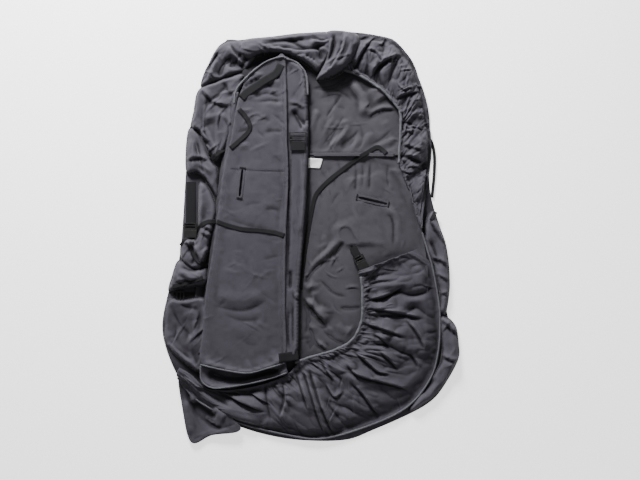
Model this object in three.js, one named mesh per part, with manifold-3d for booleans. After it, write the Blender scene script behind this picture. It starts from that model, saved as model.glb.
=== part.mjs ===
// Fitted protective cover of woven canvas, laid out flat with its side panel folded over.
// Millimetres. +Z is up, +Y runs to the crown end of the cover, +X to its right-hand side.
// The origin lies on the resting surface, under the middle of the cover's outline.
import * as THREE from "three";
import { mergeVertices } from "three/addons/utils/BufferGeometryUtils.js";
import Module from "manifold-3d";

const wasm = await Module();
wasm.setup();

// The cover as it lies.
const coverWidth = 760;
const coverLength = 1060;

// Outlines are drawn on this cutting pattern and stretched to the cover's own size.
const patternWidth = 760;
const patternLength = 1060;

// Plies. A modelled ply is the canvas with the air that it traps.
const gap = 0.3; // between pieces that touch
const shellPly = 3;
const panelPly = 4;
const foldedPly = 5;
const flapUnderPly = 3;
const flapTopPly = 4;
const pleatRise = 14;
const skirtRise = 30;
const gussetRise = 19;
const crownFoldRise = 20;
const crownTuckRise = 28;
const softEdge = 4;
const narrowEdge = 2;

// Hem casing, its elastic, and the piping in the outer seam.
const casingRadius = 4.5;
const casingWall = 1.2;
const elasticRadius = 2.2;
const pipingRadius = 2.4;

// Tapes and webbing.
const tieWidth = 12;
const crownTieWidth = 18;
const loopWidth = 8;
const tieThickness = 1.2;
const seamTapeWidth = 9;
const seamTapeThickness = 1.6;
const hemWebbing = 20;
const sideWebbing = 25;
const sliderWebbing = 38;
const tabWidth = 28;
const webbingThickness = 1.2;
const labelThickness = 0.6;

// Side-release buckles, measured along the webbing from the mouth of the socket.
const buckleHeight = 9;
const buckleRim = 4;
const buckleWall = 1.8;
const socketDepth = 18;
const prongReach = 16;
const prongThickness = 2.4;
const plugShoulder = 5;
const barThickness = 2.6;
const barGap = 4;
const buckleClearance = 0.4;

// Webbing sliders.
const sliderThickness = 3;
const sliderRim = 4;

// Slots through the panels, with a welt round each.
const slotWidth = 9;
const seatSlotLength = 78;
const flapSlotLength = 70;
const weltWidth = 6;
const weltHeight = 2;

// Heights that follow from the plies.
const panelFloor = shellPly + gap;
const panelTop = panelFloor + panelPly;
const pileFloor = panelTop + gap;
const foldedTop = pileFloor + 2 * foldedPly + gap;
const flapFloor = foldedTop + gap;
const flapSplit = flapFloor + flapUnderPly + gap;
const flapTop = flapSplit + flapTopPly;
const pleatTop = flapTop - gap;
const boxingTop = flapTop - 2;

const canvas = new THREE.MeshStandardMaterial({ color: 0x45454a, roughness: 0.9, metalness: 0 });
const innerCanvas = new THREE.MeshStandardMaterial({ color: 0x4c4c52, roughness: 0.85, metalness: 0 });
const binding = new THREE.MeshStandardMaterial({ color: 0x5a5a60, roughness: 0.85, metalness: 0 });
const tape = new THREE.MeshStandardMaterial({ color: 0x232326, roughness: 0.9, metalness: 0 });
const rubber = new THREE.MeshStandardMaterial({ color: 0x1c1c1e, roughness: 0.7, metalness: 0 });
const plastic = new THREE.MeshStandardMaterial({ color: 0x151517, roughness: 0.4, metalness: 0 });
const label = new THREE.MeshStandardMaterial({ color: 0xf2f2f2, roughness: 0.8, metalness: 0 });

const cover = new THREE.Group();

// A point of the cutting pattern on the cover as it lies.
function at([x, y]) {
  return new THREE.Vector2((x * coverWidth) / patternWidth, (y * coverLength) / patternLength);
}

// three.js geometry to a solid, and back.
function solidOf(geometry) {
  const bare = geometry.clone();
  bare.deleteAttribute("normal");
  bare.deleteAttribute("uv");
  const merged = mergeVertices(bare, 1e-4);
  return new wasm.Manifold(
    new wasm.Mesh({
      numProp: 3,
      vertProperties: merged.attributes.position.array,
      triVerts: new Uint32Array(merged.index.array),
    }),
  );
}

function geometryOf(solid) {
  const mesh = solid.getMesh();
  const geometry = new THREE.BufferGeometry();
  geometry.setAttribute("position", new THREE.BufferAttribute(new Float32Array(mesh.vertProperties), 3));
  geometry.setIndex(new THREE.BufferAttribute(new Uint32Array(mesh.triVerts), 1));
  geometry.computeVertexNormals();
  return geometry;
}

// The largest of the bodies that a cut leaves.
function largest(solid) {
  const bodies = solid.decompose();
  return bodies.reduce((a, b) => (b.volume() > a.volume() ? b : a));
}

function add(name, solid, material) {
  const mesh = new THREE.Mesh(geometryOf(solid), material);
  mesh.name = name;
  cover.add(mesh);
  return solid;
}

// The corners of a closed, smooth outline through points of the pattern, anticlockwise.
function outlineCorners(points, perPoint) {
  const curve = new THREE.CatmullRomCurve3(
    points.map(at).map((p) => new THREE.Vector3(p.x, p.y, 0)),
    true,
    "centripetal",
  );
  const sampled = curve.getPoints(points.length * perPoint);
  sampled.pop();
  const corners = sampled.map((p) => new THREE.Vector2(p.x, p.y));
  return THREE.ShapeUtils.isClockWise(corners) ? corners.reverse() : corners;
}

// The outline moved out by a distance, or in where it is negative.
function offsetCorners(corners, distance) {
  return corners.map((corner, i) => {
    const before = corners.at(i - 1);
    const after = corners[(i + 1) % corners.length];
    const along = after.clone().sub(before).normalize();
    return new THREE.Vector2(corner.x + along.y * distance, corner.y - along.x * distance);
  });
}

// A closed solid over rings of corners, each ring at its own height.
function stackOfRings(rings) {
  const count = rings[0].corners.length;
  const positions = rings.flatMap(({ corners, height }) => corners.flatMap((c) => [c.x, c.y, height]));
  const lid = THREE.ShapeUtils.triangulateShape(rings.at(rings.length / 2).corners, []);
  const top = (rings.length - 1) * count;
  const faces = lid.flatMap(([a, b, c]) => [a, c, b, top + a, top + b, top + c]);
  for (let ring = 0; ring < rings.length - 1; ring++) {
    for (let i = 0; i < count; i++) {
      const [a, b] = [ring * count + i, ring * count + ((i + 1) % count)];
      faces.push(a, b, b + count, a, b + count, a + count);
    }
  }
  const geometry = new THREE.BufferGeometry();
  geometry.setAttribute("position", new THREE.Float32BufferAttribute(positions, 3));
  geometry.setIndex(faces);
  return solidOf(geometry);
}

// A soft piece: an outline between two heights with eased edges, grown on every side by a margin.
function pad(points, floor, top, grow = 0, edge = softEdge, perPoint = 2) {
  const corners = outlineCorners(points, perPoint);
  const [low, high] = [floor - grow, top + grow];
  return stackOfRings([
    { corners: offsetCorners(corners, grow - edge), height: low },
    { corners: offsetCorners(corners, grow), height: low + edge },
    { corners: offsetCorners(corners, grow), height: high - edge },
    { corners: offsetCorners(corners, grow - edge), height: high },
  ]);
}

// A flat ply: an outline between two heights with square edges.
function ply(points, floor, top, grow = 0, perPoint = 2) {
  const corners = offsetCorners(outlineCorners(points, perPoint), grow);
  return stackOfRings([
    { corners, height: floor - grow },
    { corners, height: top + grow },
  ]);
}

// A block between two corners, in place.
function block(low, high) {
  const size = high.map((value, axis) => value - low[axis]);
  const middle = high.map((value, axis) => (value + low[axis]) / 2);
  return solidOf(new THREE.BoxGeometry(...size).translate(...middle));
}

// A round section swept along a curve.
function tube(curve, radius, steps, sides = 8) {
  const section = new THREE.Shape(
    Array.from({ length: sides }, (_, i) => {
      const turn = ((i + 0.5) / sides) * 2 * Math.PI;
      return new THREE.Vector2(radius * Math.cos(turn), radius * Math.sin(turn));
    }),
  );
  return solidOf(new THREE.ExtrudeGeometry(section, { extrudePath: curve, steps }));
}

// A curve at one height through points of the pattern.
function levelCurve(points, height) {
  return new THREE.CatmullRomCurve3(
    points.map(at).map((p) => new THREE.Vector3(p.x, p.y, height)),
    false,
    "centripetal",
  );
}

// A flat tape of even thickness that follows a path of [x, y, underside height].
function flatTape(path, width, thickness, perPoint = 3) {
  const curve = new THREE.CatmullRomCurve3(
    path.map(([x, y, z]) => new THREE.Vector3(at([x, y]).x, at([x, y]).y, z)),
    false,
    "centripetal",
  );
  const stations = curve.getPoints((path.length - 1) * perPoint);
  const corners = stations.flatMap((p, i) => {
    const before = stations[Math.max(i - 1, 0)];
    const after = stations[Math.min(i + 1, stations.length - 1)];
    const side = new THREE.Vector2(-(after.y - before.y), after.x - before.x).normalize();
    const [dx, dy] = [(side.x * width) / 2, (side.y * width) / 2];
    return [
      [p.x - dx, p.y - dy, p.z],
      [p.x + dx, p.y + dy, p.z],
      [p.x + dx, p.y + dy, p.z + thickness],
      [p.x - dx, p.y - dy, p.z + thickness],
    ];
  });
  const faces = [[0, 1, 2], [0, 2, 3]];
  for (let i = 0; i < stations.length - 1; i++) {
    for (let k = 0; k < 4; k++) {
      const [a, b] = [4 * i + k, 4 * i + ((k + 1) % 4)];
      faces.push([a, b + 4, b], [a, a + 4, b + 4]);
    }
  }
  const last = 4 * (stations.length - 1);
  faces.push([last, last + 2, last + 1], [last, last + 3, last + 2]);
  const geometry = new THREE.BufferGeometry();
  geometry.setAttribute("position", new THREE.Float32BufferAttribute(corners.flat(), 3));
  geometry.setIndex(faces.flat());
  const made = solidOf(geometry);
  if (made.volume() > 0) return made;
  geometry.setIndex(faces.map(([a, b, c]) => [a, c, b]).flat());
  return solidOf(geometry);
}

// ---------------------------------------------------------------- outlines on the pattern
const shellOutline = [
  [-228, 500], [-180, 508], [-60, 520], [70, 530], [180, 519], [232, 494], [284, 398], [308, 300],
  [306, 200], [309, 110], [330, 30], [349, -26], [358, -110], [350, -200], [375, -250], [377, -310],
  [339, -390], [286, -440], [160, -498], [80, -524], [-60, -520], [-190, -486], [-290, -426],
  [-345, -352], [-380, -250], [-368, -155], [-337, -50], [-322, 180], [-314, 275], [-285, 385],
];
const seatOutline = [
  [-264, 190], [-160, 200], [0, 203], [140, 206], [216, 200], [236, 130], [275, 40], [300, -80],
  [316, -160], [318, -290], [300, -352], [240, -424], [150, -470], [20, -508], [-130, -488],
  [-250, -440], [-330, -350], [-352, -250], [-344, -200], [-298, -188], [-290, -118], [-266, -60],
];
const backrestOutline = [
  [-296, 222], [-160, 212], [0, 210], [140, 213], [214, 210], [290, 215], [294, 290], [268, 392],
  [222, 480], [150, 506], [0, 506], [-180, 490], [-262, 400],
];
const skirtLowerOutline = [
  [123, -91], [160, -84], [232, -54], [276, -44], [303, -90], [318, -156], [322, -225], [320, -299],
  [303, -352], [242, -428], [170, -468], [86, -504], [20, -512], [-70, -500], [-132, -488],
  [-190, -469], [-252, -438], [-303, -392], [-335, -345], [-300, -352], [-262, -398], [-200, -400],
  [-120, -383], [-60, -362], [-24, -322], [19, -307], [63, -294], [107, -268], [130, -221], [133, -169],
];
const lowerHemLine = [
  [129, -108], [132, -130], [133, -169], [130, -221], [107, -268], [63, -294], [19, -307], [-20, -319],
];
const skirtUpperOutline = [
  [79, 429], [128, 411], [180, 377], [211, 346], [231, 316], [232, 273], [229, 221], [228, 180],
  [240, 130], [262, 72], [284, 10], [298, 30], [300, 110], [297, 182], [302, 240], [304, 290],
  [300, 338], [280, 398], [258, 450], [228, 488], [178, 512], [128, 505], [100, 470],
];
const upperHemLine = [
  [84, 428], [128, 411], [180, 377], [211, 346], [231, 316], [232, 273], [229, 221], [228, 184],
];
const pipingLine = [
  [284, -22], [312, -92], [327, -158], [331, -225], [329, -301], [311, -358], [248, -436],
  [174, -477], [88, -513], [20, -521], [-72, -509], [-134, -497],
];
const gussetUpperOutline = [
  [296, 4], [313, 70], [328, 30], [345, -26], [354, -95], [354, -143], [346, -204], [337, -200],
  [333, -156], [318, -90], [304, -40],
];
const gussetLowerOutline = [
  [340, -222], [352, -216], [370, -232], [376, -275], [373, -322], [336, -385], [286, -434],
  [262, -434], [318, -360], [336, -300],
];
const tailOutline = [[-332, -352], [-282, -416], [-190, -480], [-192, -504], [-250, -514], [-303, -530], [-326, -446]];
const crownFoldOutline = [
  [-158, 496], [-106, 508], [-28, 521], [37, 524], [60, 512], [64, 481], [42, 452], [16, 430],
  [-15, 445], [-67, 466], [-127, 462], [-150, 466],
];
const crownTuckOutline = [
  [74, 524], [100, 512], [118, 500], [96, 462], [74, 426], [48, 412], [24, 410], [34, 432], [54, 456], [72, 484],
];
const cornerPleatOutline = [
  [-282, 390], [-260, 442], [-229, 490], [-186, 502], [-170, 484], [-158, 450], [-186, 430], [-218, 412], [-250, 398],
];
const pouchFoldOutline = [
  [-282, 380], [-249, 388], [-212, 402], [-180, 412], [-184, 372], [-206, 338], [-208, 286],
  [-218, 234], [-250, 192], [-275, 247], [-291, 270], [-308, 276], [-300, 320],
];
const sidePleatUpperOutline = [
  [-310, 262], [-290, 258], [-262, 190], [-242, 160], [-240, 84], [-262, 124], [-300, 150], [-317, 140],
];
const sidePleatMiddleOutline = [
  [-288, 118], [-276, 130], [-262, 112], [-248, 66], [-252, 26], [-268, -26], [-280, -74], [-292, -84],
  [-325, -68], [-330, -30], [-314, -12], [-290, -8],
];
const sidePleatLowerOutline = [
  [-330, -80], [-292, -96], [-276, -96], [-276, -124], [-305, -128], [-340, -134], [-356, -140], [-347, -108],
];
const sidePanelOutline = [
  [-362, -178], [-327, -176], [-288, -174], [-290, -247], [-298, -318], [-350, -284], [-370, -247],
];
const foldedPlyOutline = [
  [-72, 440], [-36, 420], [-24, 325], [-24, 221], [-30, 91], [-36, -13], [-44, -143], [-44, -290],
  [-66, -330], [-158, -362], [-240, -368], [-268, -330], [-262, -247], [-254, -143], [-240, -65],
  [-226, 26], [-208, 169], [-190, 247], [-178, 325], [-136, 430],
];
const flapUnderOutline = [
  [-72, 448], [-66, 247], [-62, 143], [-70, 0], [-70, -169], [-62, -330], [-58, -352], [-100, -364],
  [-158, -376], [-210, -384], [-249, -388], [-276, -370], [-280, -330], [-271, -247], [-263, -143],
  [-250, -65], [-237, 26], [-219, 169], [-201, 247], [-188, 325], [-180, 356], [-141, 440], [-106, 452],
];
const flapTopOutline = [
  [-72, 452], [-62, 247], [-57, 143], [-65, 0], [-65, -169], [-66, -322], [-110, -338], [-158, -352],
  [-210, -344], [-276, -328], [-273, -247], [-265, -143], [-252, -65], [-239, 26], [-221, 169],
  [-203, 247], [-190, 325], [-182, 356], [-143, 444], [-106, 456],
];
const boxingOutline = [
  [-60, 446], [-30, 438], [-15, 412], [-8, 325], [-8, 221], [-13, 91], [-21, -13], [-31, -143],
  [-29, -280], [-54, -292], [-58, -169], [-58, 0], [-50, 143], [-54, 247],
];

// ---------------------------------------------------------------- the cover lying underneath
const tail = ply(tailOutline, 0, shellPly, gap);
add("hem_tail", ply(tailOutline, 0, shellPly), canvas);
const shell = ply(shellOutline, 0, shellPly);
add("outer_shell", largest(shell.subtract(tail)), canvas);

// A block set out from a slot's middle, along and across the slot, in place.
function slotBlock(slot, along, across, floor, top) {
  const size = [along[1] - along[0], across[1] - across[0], top - floor];
  const geometry = new THREE.BoxGeometry(...size);
  geometry.translate(along[0] + size[0] / 2, across[0] + size[1] / 2, floor + size[2] / 2);
  geometry.rotateZ(slot.turn);
  geometry.translate(at(slot.place).x, at(slot.place).y, 0);
  return solidOf(geometry);
}

// The welt stitched round a slot.
function slotWelt(slot, floor) {
  const [reach, half] = [slot.length / 2, slotWidth / 2];
  const edge = [-reach - weltWidth, reach + weltWidth];
  const side = [-half - weltWidth, half + weltWidth];
  const outer = slotBlock(slot, edge, side, floor, floor + weltHeight);
  return outer.subtract(slotBlock(slot, [-reach, reach], [-half, half], floor - gap, floor + weltHeight + gap));
}

// A ply that meets at a seam along the slot: the panels on both sides, and the seam past each end.
function seamedPly(solid, slot, floor, top) {
  const [reach, half, far] = [slot.length / 2, slotWidth / 2, coverLength];
  const part = (along, across) => largest(solid.intersect(slotBlock(slot, along, across, floor - gap, top + gap)));
  return {
    left: part([-far, far], [half, far]),
    right: part([-far, far], [-far, -half]),
    before: part([-far, -reach], [-half + gap, half - gap]),
    beyond: part([reach, far], [-half + gap, half - gap]),
  };
}

const seatSlot = { place: [160, 88], turn: THREE.MathUtils.degToRad(-13), length: seatSlotLength };
const flapSlot = { place: [-178, 128], turn: THREE.MathUtils.degToRad(84), length: flapSlotLength };

const seat = seamedPly(ply(seatOutline, panelFloor, panelTop), seatSlot, panelFloor, panelTop);
add("seat_front_panel", seat.left, innerCanvas);
add("seat_rear_panel", seat.right, innerCanvas);
add("seat_seam_left", seat.before, innerCanvas);
add("seat_seam_right", seat.beyond, innerCanvas);
add("seat_slot_welt", slotWelt(seatSlot, pileFloor), innerCanvas);
add("backrest_panel", ply(backrestOutline, panelFloor, panelTop), innerCanvas);

const crossSeam = [[8, 207, pileFloor], [80, 208, pileFloor], [150, 210, pileFloor], [216, 206, pileFloor]];
add("cross_seam_tape", flatTape(crossSeam, seamTapeWidth, seamTapeThickness), binding);

// ---------------------------------------------------------------- hem: casing, elastic, piping
// The line with both ends carried on, so that what is cut by it leaves room past the ends.
function extended(line) {
  const carry = ([ax, ay], [bx, by]) => {
    const length = Math.hypot(ax - bx, ay - by);
    return [ax + ((ax - bx) * casingRadius) / length, ay + ((ay - by) * casingRadius) / length];
  };
  return [carry(line[0], line[1]), ...line, carry(line.at(-1), line.at(-2))];
}

// A hem casing with the elastic cord that runs in it. Returns the room that both need.
function hem(name, line, steps) {
  const height = pileFloor + casingRadius;
  const curve = levelCurve(line, height);
  const bore = tube(curve, casingRadius - casingWall, steps);
  add(`${name}_casing`, tube(curve, casingRadius, steps).subtract(bore), binding);
  add(`${name}_elastic`, tube(curve, elasticRadius, steps), rubber);
  return tube(levelCurve(extended(line), height), casingRadius + gap, steps);
}

const hemSteps = 24;
const lowerHemRoom = hem("hem_lower", lowerHemLine, hemSteps);
const upperHemRoom = hem("hem_upper", upperHemLine, hemSteps);

const pipingHeight = pileFloor + pipingRadius;
const pipingSteps = 40;
const pipingSides = 6;
add("seam_piping", tube(levelCurve(pipingLine, pipingHeight), pipingRadius, pipingSteps, pipingSides), binding);
const pipingLineRoom = levelCurve(extended(pipingLine), pipingHeight);
const pipingRoom = tube(pipingLineRoom, pipingRadius + gap, pipingSteps, pipingSides);

// ---------------------------------------------------------------- buckles and sliders
// A block between two corners, less any others.
function cutBlock(low, high, cuts = []) {
  return cuts.reduce((solid, [from, to]) => solid.subtract(block(from, to)), block(low, high));
}

// A solid turned about +Z and set down at a place on the pattern.
function setDown(solid, place, turn, height) {
  const geometry = geometryOf(solid).rotateZ(turn);
  geometry.translate(at(place).x, at(place).y, height);
  return solidOf(geometry);
}

// The socket: +X is the way the plug comes out, and the mouth is at zero.
function buckleSocket(webbing) {
  const half = webbing / 2 + buckleRim;
  const back = -socketDepth - buckleWall - barGap - barThickness;
  const inner = half - buckleWall;
  return cutBlock([back, -half, 0], [0, half, buckleHeight], [
    [[-socketDepth, -inner, buckleWall], [1, inner, buckleHeight - buckleWall]],
    [[back + barThickness, -webbing / 2, -1], [back + barThickness + barGap, webbing / 2, buckleHeight + 1]],
    [[-0.7 * socketDepth, -half - 1, buckleWall], [-0.3 * socketDepth, half + 1, buckleHeight - buckleWall]],
  ]);
}

// The plug: shoulder, two bars for the webbing, two prongs and a guide between them.
function bucklePlug(webbing) {
  const half = webbing / 2 + buckleRim;
  const inner = half - buckleWall - buckleClearance;
  const [low, high] = [buckleWall + buckleClearance, buckleHeight - buckleWall - buckleClearance];
  const front = buckleClearance + plugShoulder;
  const pitch = barGap + barThickness;
  const slots = [0, 1].map((i) => [
    [front + i * pitch, -webbing / 2, -1],
    [front + i * pitch + barGap, webbing / 2, buckleHeight + 1],
  ]);
  const frame = cutBlock([buckleClearance, -half, 0], [front + 2 * pitch, half, buckleHeight], slots);
  const prongs = [-inner, inner - prongThickness, -prongThickness].map((side, i) =>
    block([-prongReach, side, low], [front - 1, side + (i === 2 ? 2 : 1) * prongThickness, high]),
  );
  return prongs.reduce((solid, prong) => solid.add(prong), frame);
}

// A flat webbing slider: a rim with two slots and a bar between them.
function webbingSlider(webbing, length) {
  const half = webbing / 2 + sliderRim;
  const slot = (length - 3 * barThickness) / 2;
  const slots = [0, 1].map((i) => {
    const from = -length / 2 + barThickness + i * (slot + barThickness);
    return [[from, -webbing / 2, -1], [from + slot, webbing / 2, sliderThickness + 1]];
  });
  return cutBlock([-length / 2, -half, 0], [length / 2, half, sliderThickness], slots);
}

const hemBuckle = { place: [129, -71], turn: THREE.MathUtils.degToRad(118), height: pileFloor };
const sideBuckle = { place: [-309, 12], turn: THREE.MathUtils.degToRad(90), height: shellPly + gap };

function buckle(name, webbing, { place, turn, height }) {
  add(`${name}_socket`, setDown(buckleSocket(webbing), place, turn, height), plastic);
  add(`${name}_plug`, setDown(bucklePlug(webbing), place, turn, height), plastic);
}

// The room that a socket and its hem need under a skirt.
function socketRoom(webbing, { place, turn, height }) {
  const half = webbing / 2 + buckleRim + 1;
  const room = block([-2 * socketDepth, -half, -1], [2 * socketDepth, half, coverWidth]);
  return setDown(room, place, turn, height);
}

buckle("hem_buckle", hemWebbing, hemBuckle);
buckle("side_buckle", sideWebbing, sideBuckle);

// Webbing on a plug, from its far bar onwards: over the plug's end, one ply.
function plugWebbing(webbing, length, { place, turn, height }) {
  const start = buckleClearance + plugShoulder + 2 * (barGap + barThickness) + gap;
  const strap = block([start, -webbing / 2, 0], [start + length, webbing / 2, webbingThickness]);
  return setDown(strap, place, turn, height);
}

add("hem_plug_webbing", plugWebbing(hemWebbing, 26, hemBuckle), tape);
add("side_plug_webbing", plugWebbing(sideWebbing, 106, sideBuckle), tape);

// ---------------------------------------------------------------- pleats and gathered skirts
// Each soft piece is trimmed by the room that the ones before it need.
const rooms = [lowerHemRoom, upperHemRoom, pipingRoom];
rooms.push(socketRoom(hemWebbing, hemBuckle), socketRoom(sideWebbing, sideBuckle));

function softPiece(name, points, floor, top, edge = softEdge) {
  const trimmed = rooms.reduce((solid, room) => solid.subtract(room), pad(points, floor, top, 0, edge));
  add(name, largest(trimmed), canvas);
  rooms.push(pad(points, floor, top, gap, edge));
}

softPiece("skirt_lower", skirtLowerOutline, pileFloor, pileFloor + skirtRise);
softPiece("skirt_upper", skirtUpperOutline, pileFloor, pileFloor + skirtRise);
softPiece("side_gusset_upper", gussetUpperOutline, panelFloor, panelFloor + gussetRise, narrowEdge);
softPiece("side_gusset_lower", gussetLowerOutline, panelFloor, panelFloor + gussetRise, narrowEdge);
softPiece("crown_fold", crownFoldOutline, pileFloor, pileFloor + crownFoldRise);
softPiece("crown_tuck", crownTuckOutline, pileFloor, pileFloor + crownTuckRise);
softPiece("corner_pleat", cornerPleatOutline, pileFloor, pileFloor + pleatRise);
softPiece("pouch_fold", pouchFoldOutline, pileFloor, pleatTop);
softPiece("side_pleat_upper", sidePleatUpperOutline, pileFloor, pileFloor + pleatRise);
softPiece("side_pleat_middle", sidePleatMiddleOutline, pileFloor, pleatTop);
softPiece("side_pleat_lower", sidePleatLowerOutline, pileFloor, pileFloor + pleatRise);
softPiece("side_panel", sidePanelOutline, pileFloor, pileFloor + pleatRise);

function foldedLayer(name, floor) {
  const layer = ply(foldedPlyOutline, floor, floor + foldedPly);
  add(name, largest(rooms.reduce((solid, room) => solid.subtract(room), layer)), canvas);
}

foldedLayer("folded_ply_lower", pileFloor);
foldedLayer("folded_ply_upper", pileFloor + foldedPly + gap);

// ---------------------------------------------------------------- the folded-over flap
add("flap_under_layer", ply(flapUnderOutline, flapFloor, flapFloor + flapUnderPly), canvas);

// The top layer: one panel above the cross seam, and two beside the slot below it.
const flapSeam = slotBlock(
  { place: flapSlot.place, turn: 0 },
  [-coverWidth, coverWidth],
  [flapSlot.length / 2, coverLength],
  flapSplit - gap,
  flapTop + gap,
);
const flapSheet = ply(flapTopOutline, flapSplit, flapTop);
add("flap_top_panel", largest(flapSheet.intersect(flapSeam)), canvas);
const flapSeamRoom = flapSeam.translate([0, -gap, 0]);
const flapLower = seamedPly(flapSheet.subtract(flapSeamRoom), flapSlot, flapSplit, flapTop);
add("flap_side_panel", flapLower.left, canvas);
add("flap_main_panel", flapLower.right, canvas);
add("flap_slot_stay", flapLower.before, canvas);
add("flap_slot_welt", slotWelt(flapSlot, flapTop + gap), canvas);

const boxing = ply(boxingOutline, flapFloor, boxingTop)
  .subtract(ply(flapTopOutline, flapFloor, flapTop, gap))
  .subtract(ply(flapUnderOutline, flapFloor, flapTop, gap));
add("boxing_strip", largest(boxing), canvas);

// ---------------------------------------------------------------- sliders, tab and label
const strapSlider = { place: [-33, 252], turn: THREE.MathUtils.degToRad(90), height: boxingTop + gap };
const sideSlider = { place: [-334, -158], turn: 0, height: panelFloor + webbingThickness + gap };

add("strap_slider", setDown(webbingSlider(sliderWebbing, 22), ...Object.values(strapSlider)), plastic);
const strapBand = [[-33, 238, boxingTop + gap], [-33, 226, boxingTop + gap], [-33, 216, boxingTop + gap]];
add("strap_slider_webbing", flatTape(strapBand, sliderWebbing, webbingThickness), tape);

add("side_slider", setDown(webbingSlider(hemWebbing, 20), ...Object.values(sideSlider)), plastic);
const sideStrap = [[-352, -158, panelFloor], [-320, -158, panelFloor], [-296, -158, panelFloor]];
add("side_slider_webbing", flatTape(sideStrap, hemWebbing, webbingThickness), tape);

const tabPath = [[-78, -312, flapTop + gap], [-56, -310, flapTop + gap], [-31, -308, flapTop + gap]];
add("corner_tab", flatTape(tabPath, tabWidth, webbingThickness), tape);

const labelOutline = new THREE.Shape([[-9, 173], [24, 172], [31, 196], [-8, 199]].map(at));
const labelGeometry = new THREE.ExtrudeGeometry(labelOutline, { depth: labelThickness, bevelEnabled: false });
add("care_label", solidOf(labelGeometry.translate(0, 0, pileFloor)), label);

// ---------------------------------------------------------------- tape ties
const onPanel = pileFloor;
const onSeam = pileFloor + seamTapeThickness + gap;
const onPleat = pleatTop + gap;
const onFlap = flapTop + gap;

const ties = {
  tie_seat: [
    [195, 209, onSeam], [183, 221, onSeam], [170, 226, onSeam], [144, 211, onSeam], [118, 195, onSeam],
    [76, 164, onPanel], [50, 143, onPanel], [24, 117, onPanel], [9, 91, onPanel], [-6, 13, onPanel],
    [-19, -65, onPanel], [-27, -140, onPanel],
  ],
  tie_long: [[-332, -29, onPleat], [-314, -8, onPleat], [-288, 16, onPleat], [-267, 31, onPleat], [-246, 34, onPleat]],
  tie_long_flap: [
    [-230, 33, onFlap], [-205, 21, onFlap], [-171, 13, onFlap], [-127, 10, onFlap], [-93, 5, onFlap], [-67, -3, onFlap],
  ],
  tie_short: [[-303, -21, onPleat], [-303, -36, onPleat], [-296, -54, onPleat], [-284, -70, onPleat], [-270, -80, onPleat]],
  tie_back: [[-229, 222, onPleat], [-243, 208, onPleat], [-257, 196, onPleat]],
  tie_back_flap: [
    [-184, 322, onFlap], [-168, 304, onFlap], [-156, 280, onFlap], [-161, 262, onFlap], [-184, 240, onFlap], [-203, 222, onFlap],
  ],
};
for (const [name, path] of Object.entries(ties)) add(name, flatTape(path, tieWidth, tieThickness), tape);

const crownTie = [[-76, 438, onFlap], [-90, 414, onFlap], [-127, 390, onFlap], [-162, 366, onFlap], [-178, 350, onFlap]];
add("tie_crown", flatTape(crownTie, crownTieWidth, tieThickness), tape);

const loopPath = [
  [301, 254, panelFloor], [313, 240, panelFloor], [320, 205, panelFloor], [319, 156, panelFloor], [313, 96, panelFloor],
];
add("edge_loop", flatTape(loopPath, loopWidth, tieThickness), tape);

const onGusset = panelFloor + gussetRise + gap;
add("edge_tape", flatTape([[308, 36, onGusset], [314, 47, onGusset], [321, 59, onGusset]], loopWidth, tieThickness), tape);

const onSidePleat = pileFloor + pleatRise + gap;
const sideTape = [[-352, -133, onSidePleat], [-312, -122, onSidePleat], [-274, -110, onSidePleat]];
add("side_tape", flatTape(sideTape, tieWidth, tieThickness), tape);

export default cover;
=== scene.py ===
import math
import bmesh
import bpy
import numpy as np
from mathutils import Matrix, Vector, geometry


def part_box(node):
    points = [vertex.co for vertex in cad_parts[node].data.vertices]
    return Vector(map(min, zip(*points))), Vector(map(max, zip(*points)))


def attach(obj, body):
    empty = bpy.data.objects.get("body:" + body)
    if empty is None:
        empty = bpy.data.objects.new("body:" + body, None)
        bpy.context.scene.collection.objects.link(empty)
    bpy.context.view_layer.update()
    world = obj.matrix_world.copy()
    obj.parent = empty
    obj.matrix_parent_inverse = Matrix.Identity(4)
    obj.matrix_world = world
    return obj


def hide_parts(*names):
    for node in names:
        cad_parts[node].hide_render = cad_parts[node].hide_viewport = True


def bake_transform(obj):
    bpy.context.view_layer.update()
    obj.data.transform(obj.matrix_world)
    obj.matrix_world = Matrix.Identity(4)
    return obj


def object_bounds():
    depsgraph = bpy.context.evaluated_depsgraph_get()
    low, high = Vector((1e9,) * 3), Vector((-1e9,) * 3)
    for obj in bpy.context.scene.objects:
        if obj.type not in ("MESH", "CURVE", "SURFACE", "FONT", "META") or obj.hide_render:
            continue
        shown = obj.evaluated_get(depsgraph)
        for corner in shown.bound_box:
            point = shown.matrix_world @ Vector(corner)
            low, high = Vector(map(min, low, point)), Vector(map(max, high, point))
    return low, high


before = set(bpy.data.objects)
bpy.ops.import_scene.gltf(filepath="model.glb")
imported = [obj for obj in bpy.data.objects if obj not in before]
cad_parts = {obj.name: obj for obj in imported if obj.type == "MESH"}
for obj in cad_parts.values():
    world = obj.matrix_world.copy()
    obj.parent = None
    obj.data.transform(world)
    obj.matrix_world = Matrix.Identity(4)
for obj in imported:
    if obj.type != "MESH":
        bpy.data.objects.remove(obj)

cadLow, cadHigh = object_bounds()
scene = bpy.context.scene
print("cover: frame loaded,", len(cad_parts), "nodes")

# Places are written on the cutting pattern in millimetres and scaled to the cover as it lies.
pattern = {"width": 760.0, "length": 1060.0}
scaleX = (cadHigh.x - cadLow.x) / pattern["width"]
scaleY = (cadHigh.y - cadLow.y) / pattern["length"]
mm = 0.001
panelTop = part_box("seat_rear_panel")[1].z
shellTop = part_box("outer_shell")[1].z
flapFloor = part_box("flap_under_layer")[0].z
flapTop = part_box("flap_main_panel")[1].z


def spots(points):
    return np.array([[p[0] * scaleX, p[1] * scaleY] for p in points], float)


def spot(x, y, z=0.0):
    return Vector((x * scaleX, y * scaleY, z))


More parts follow.
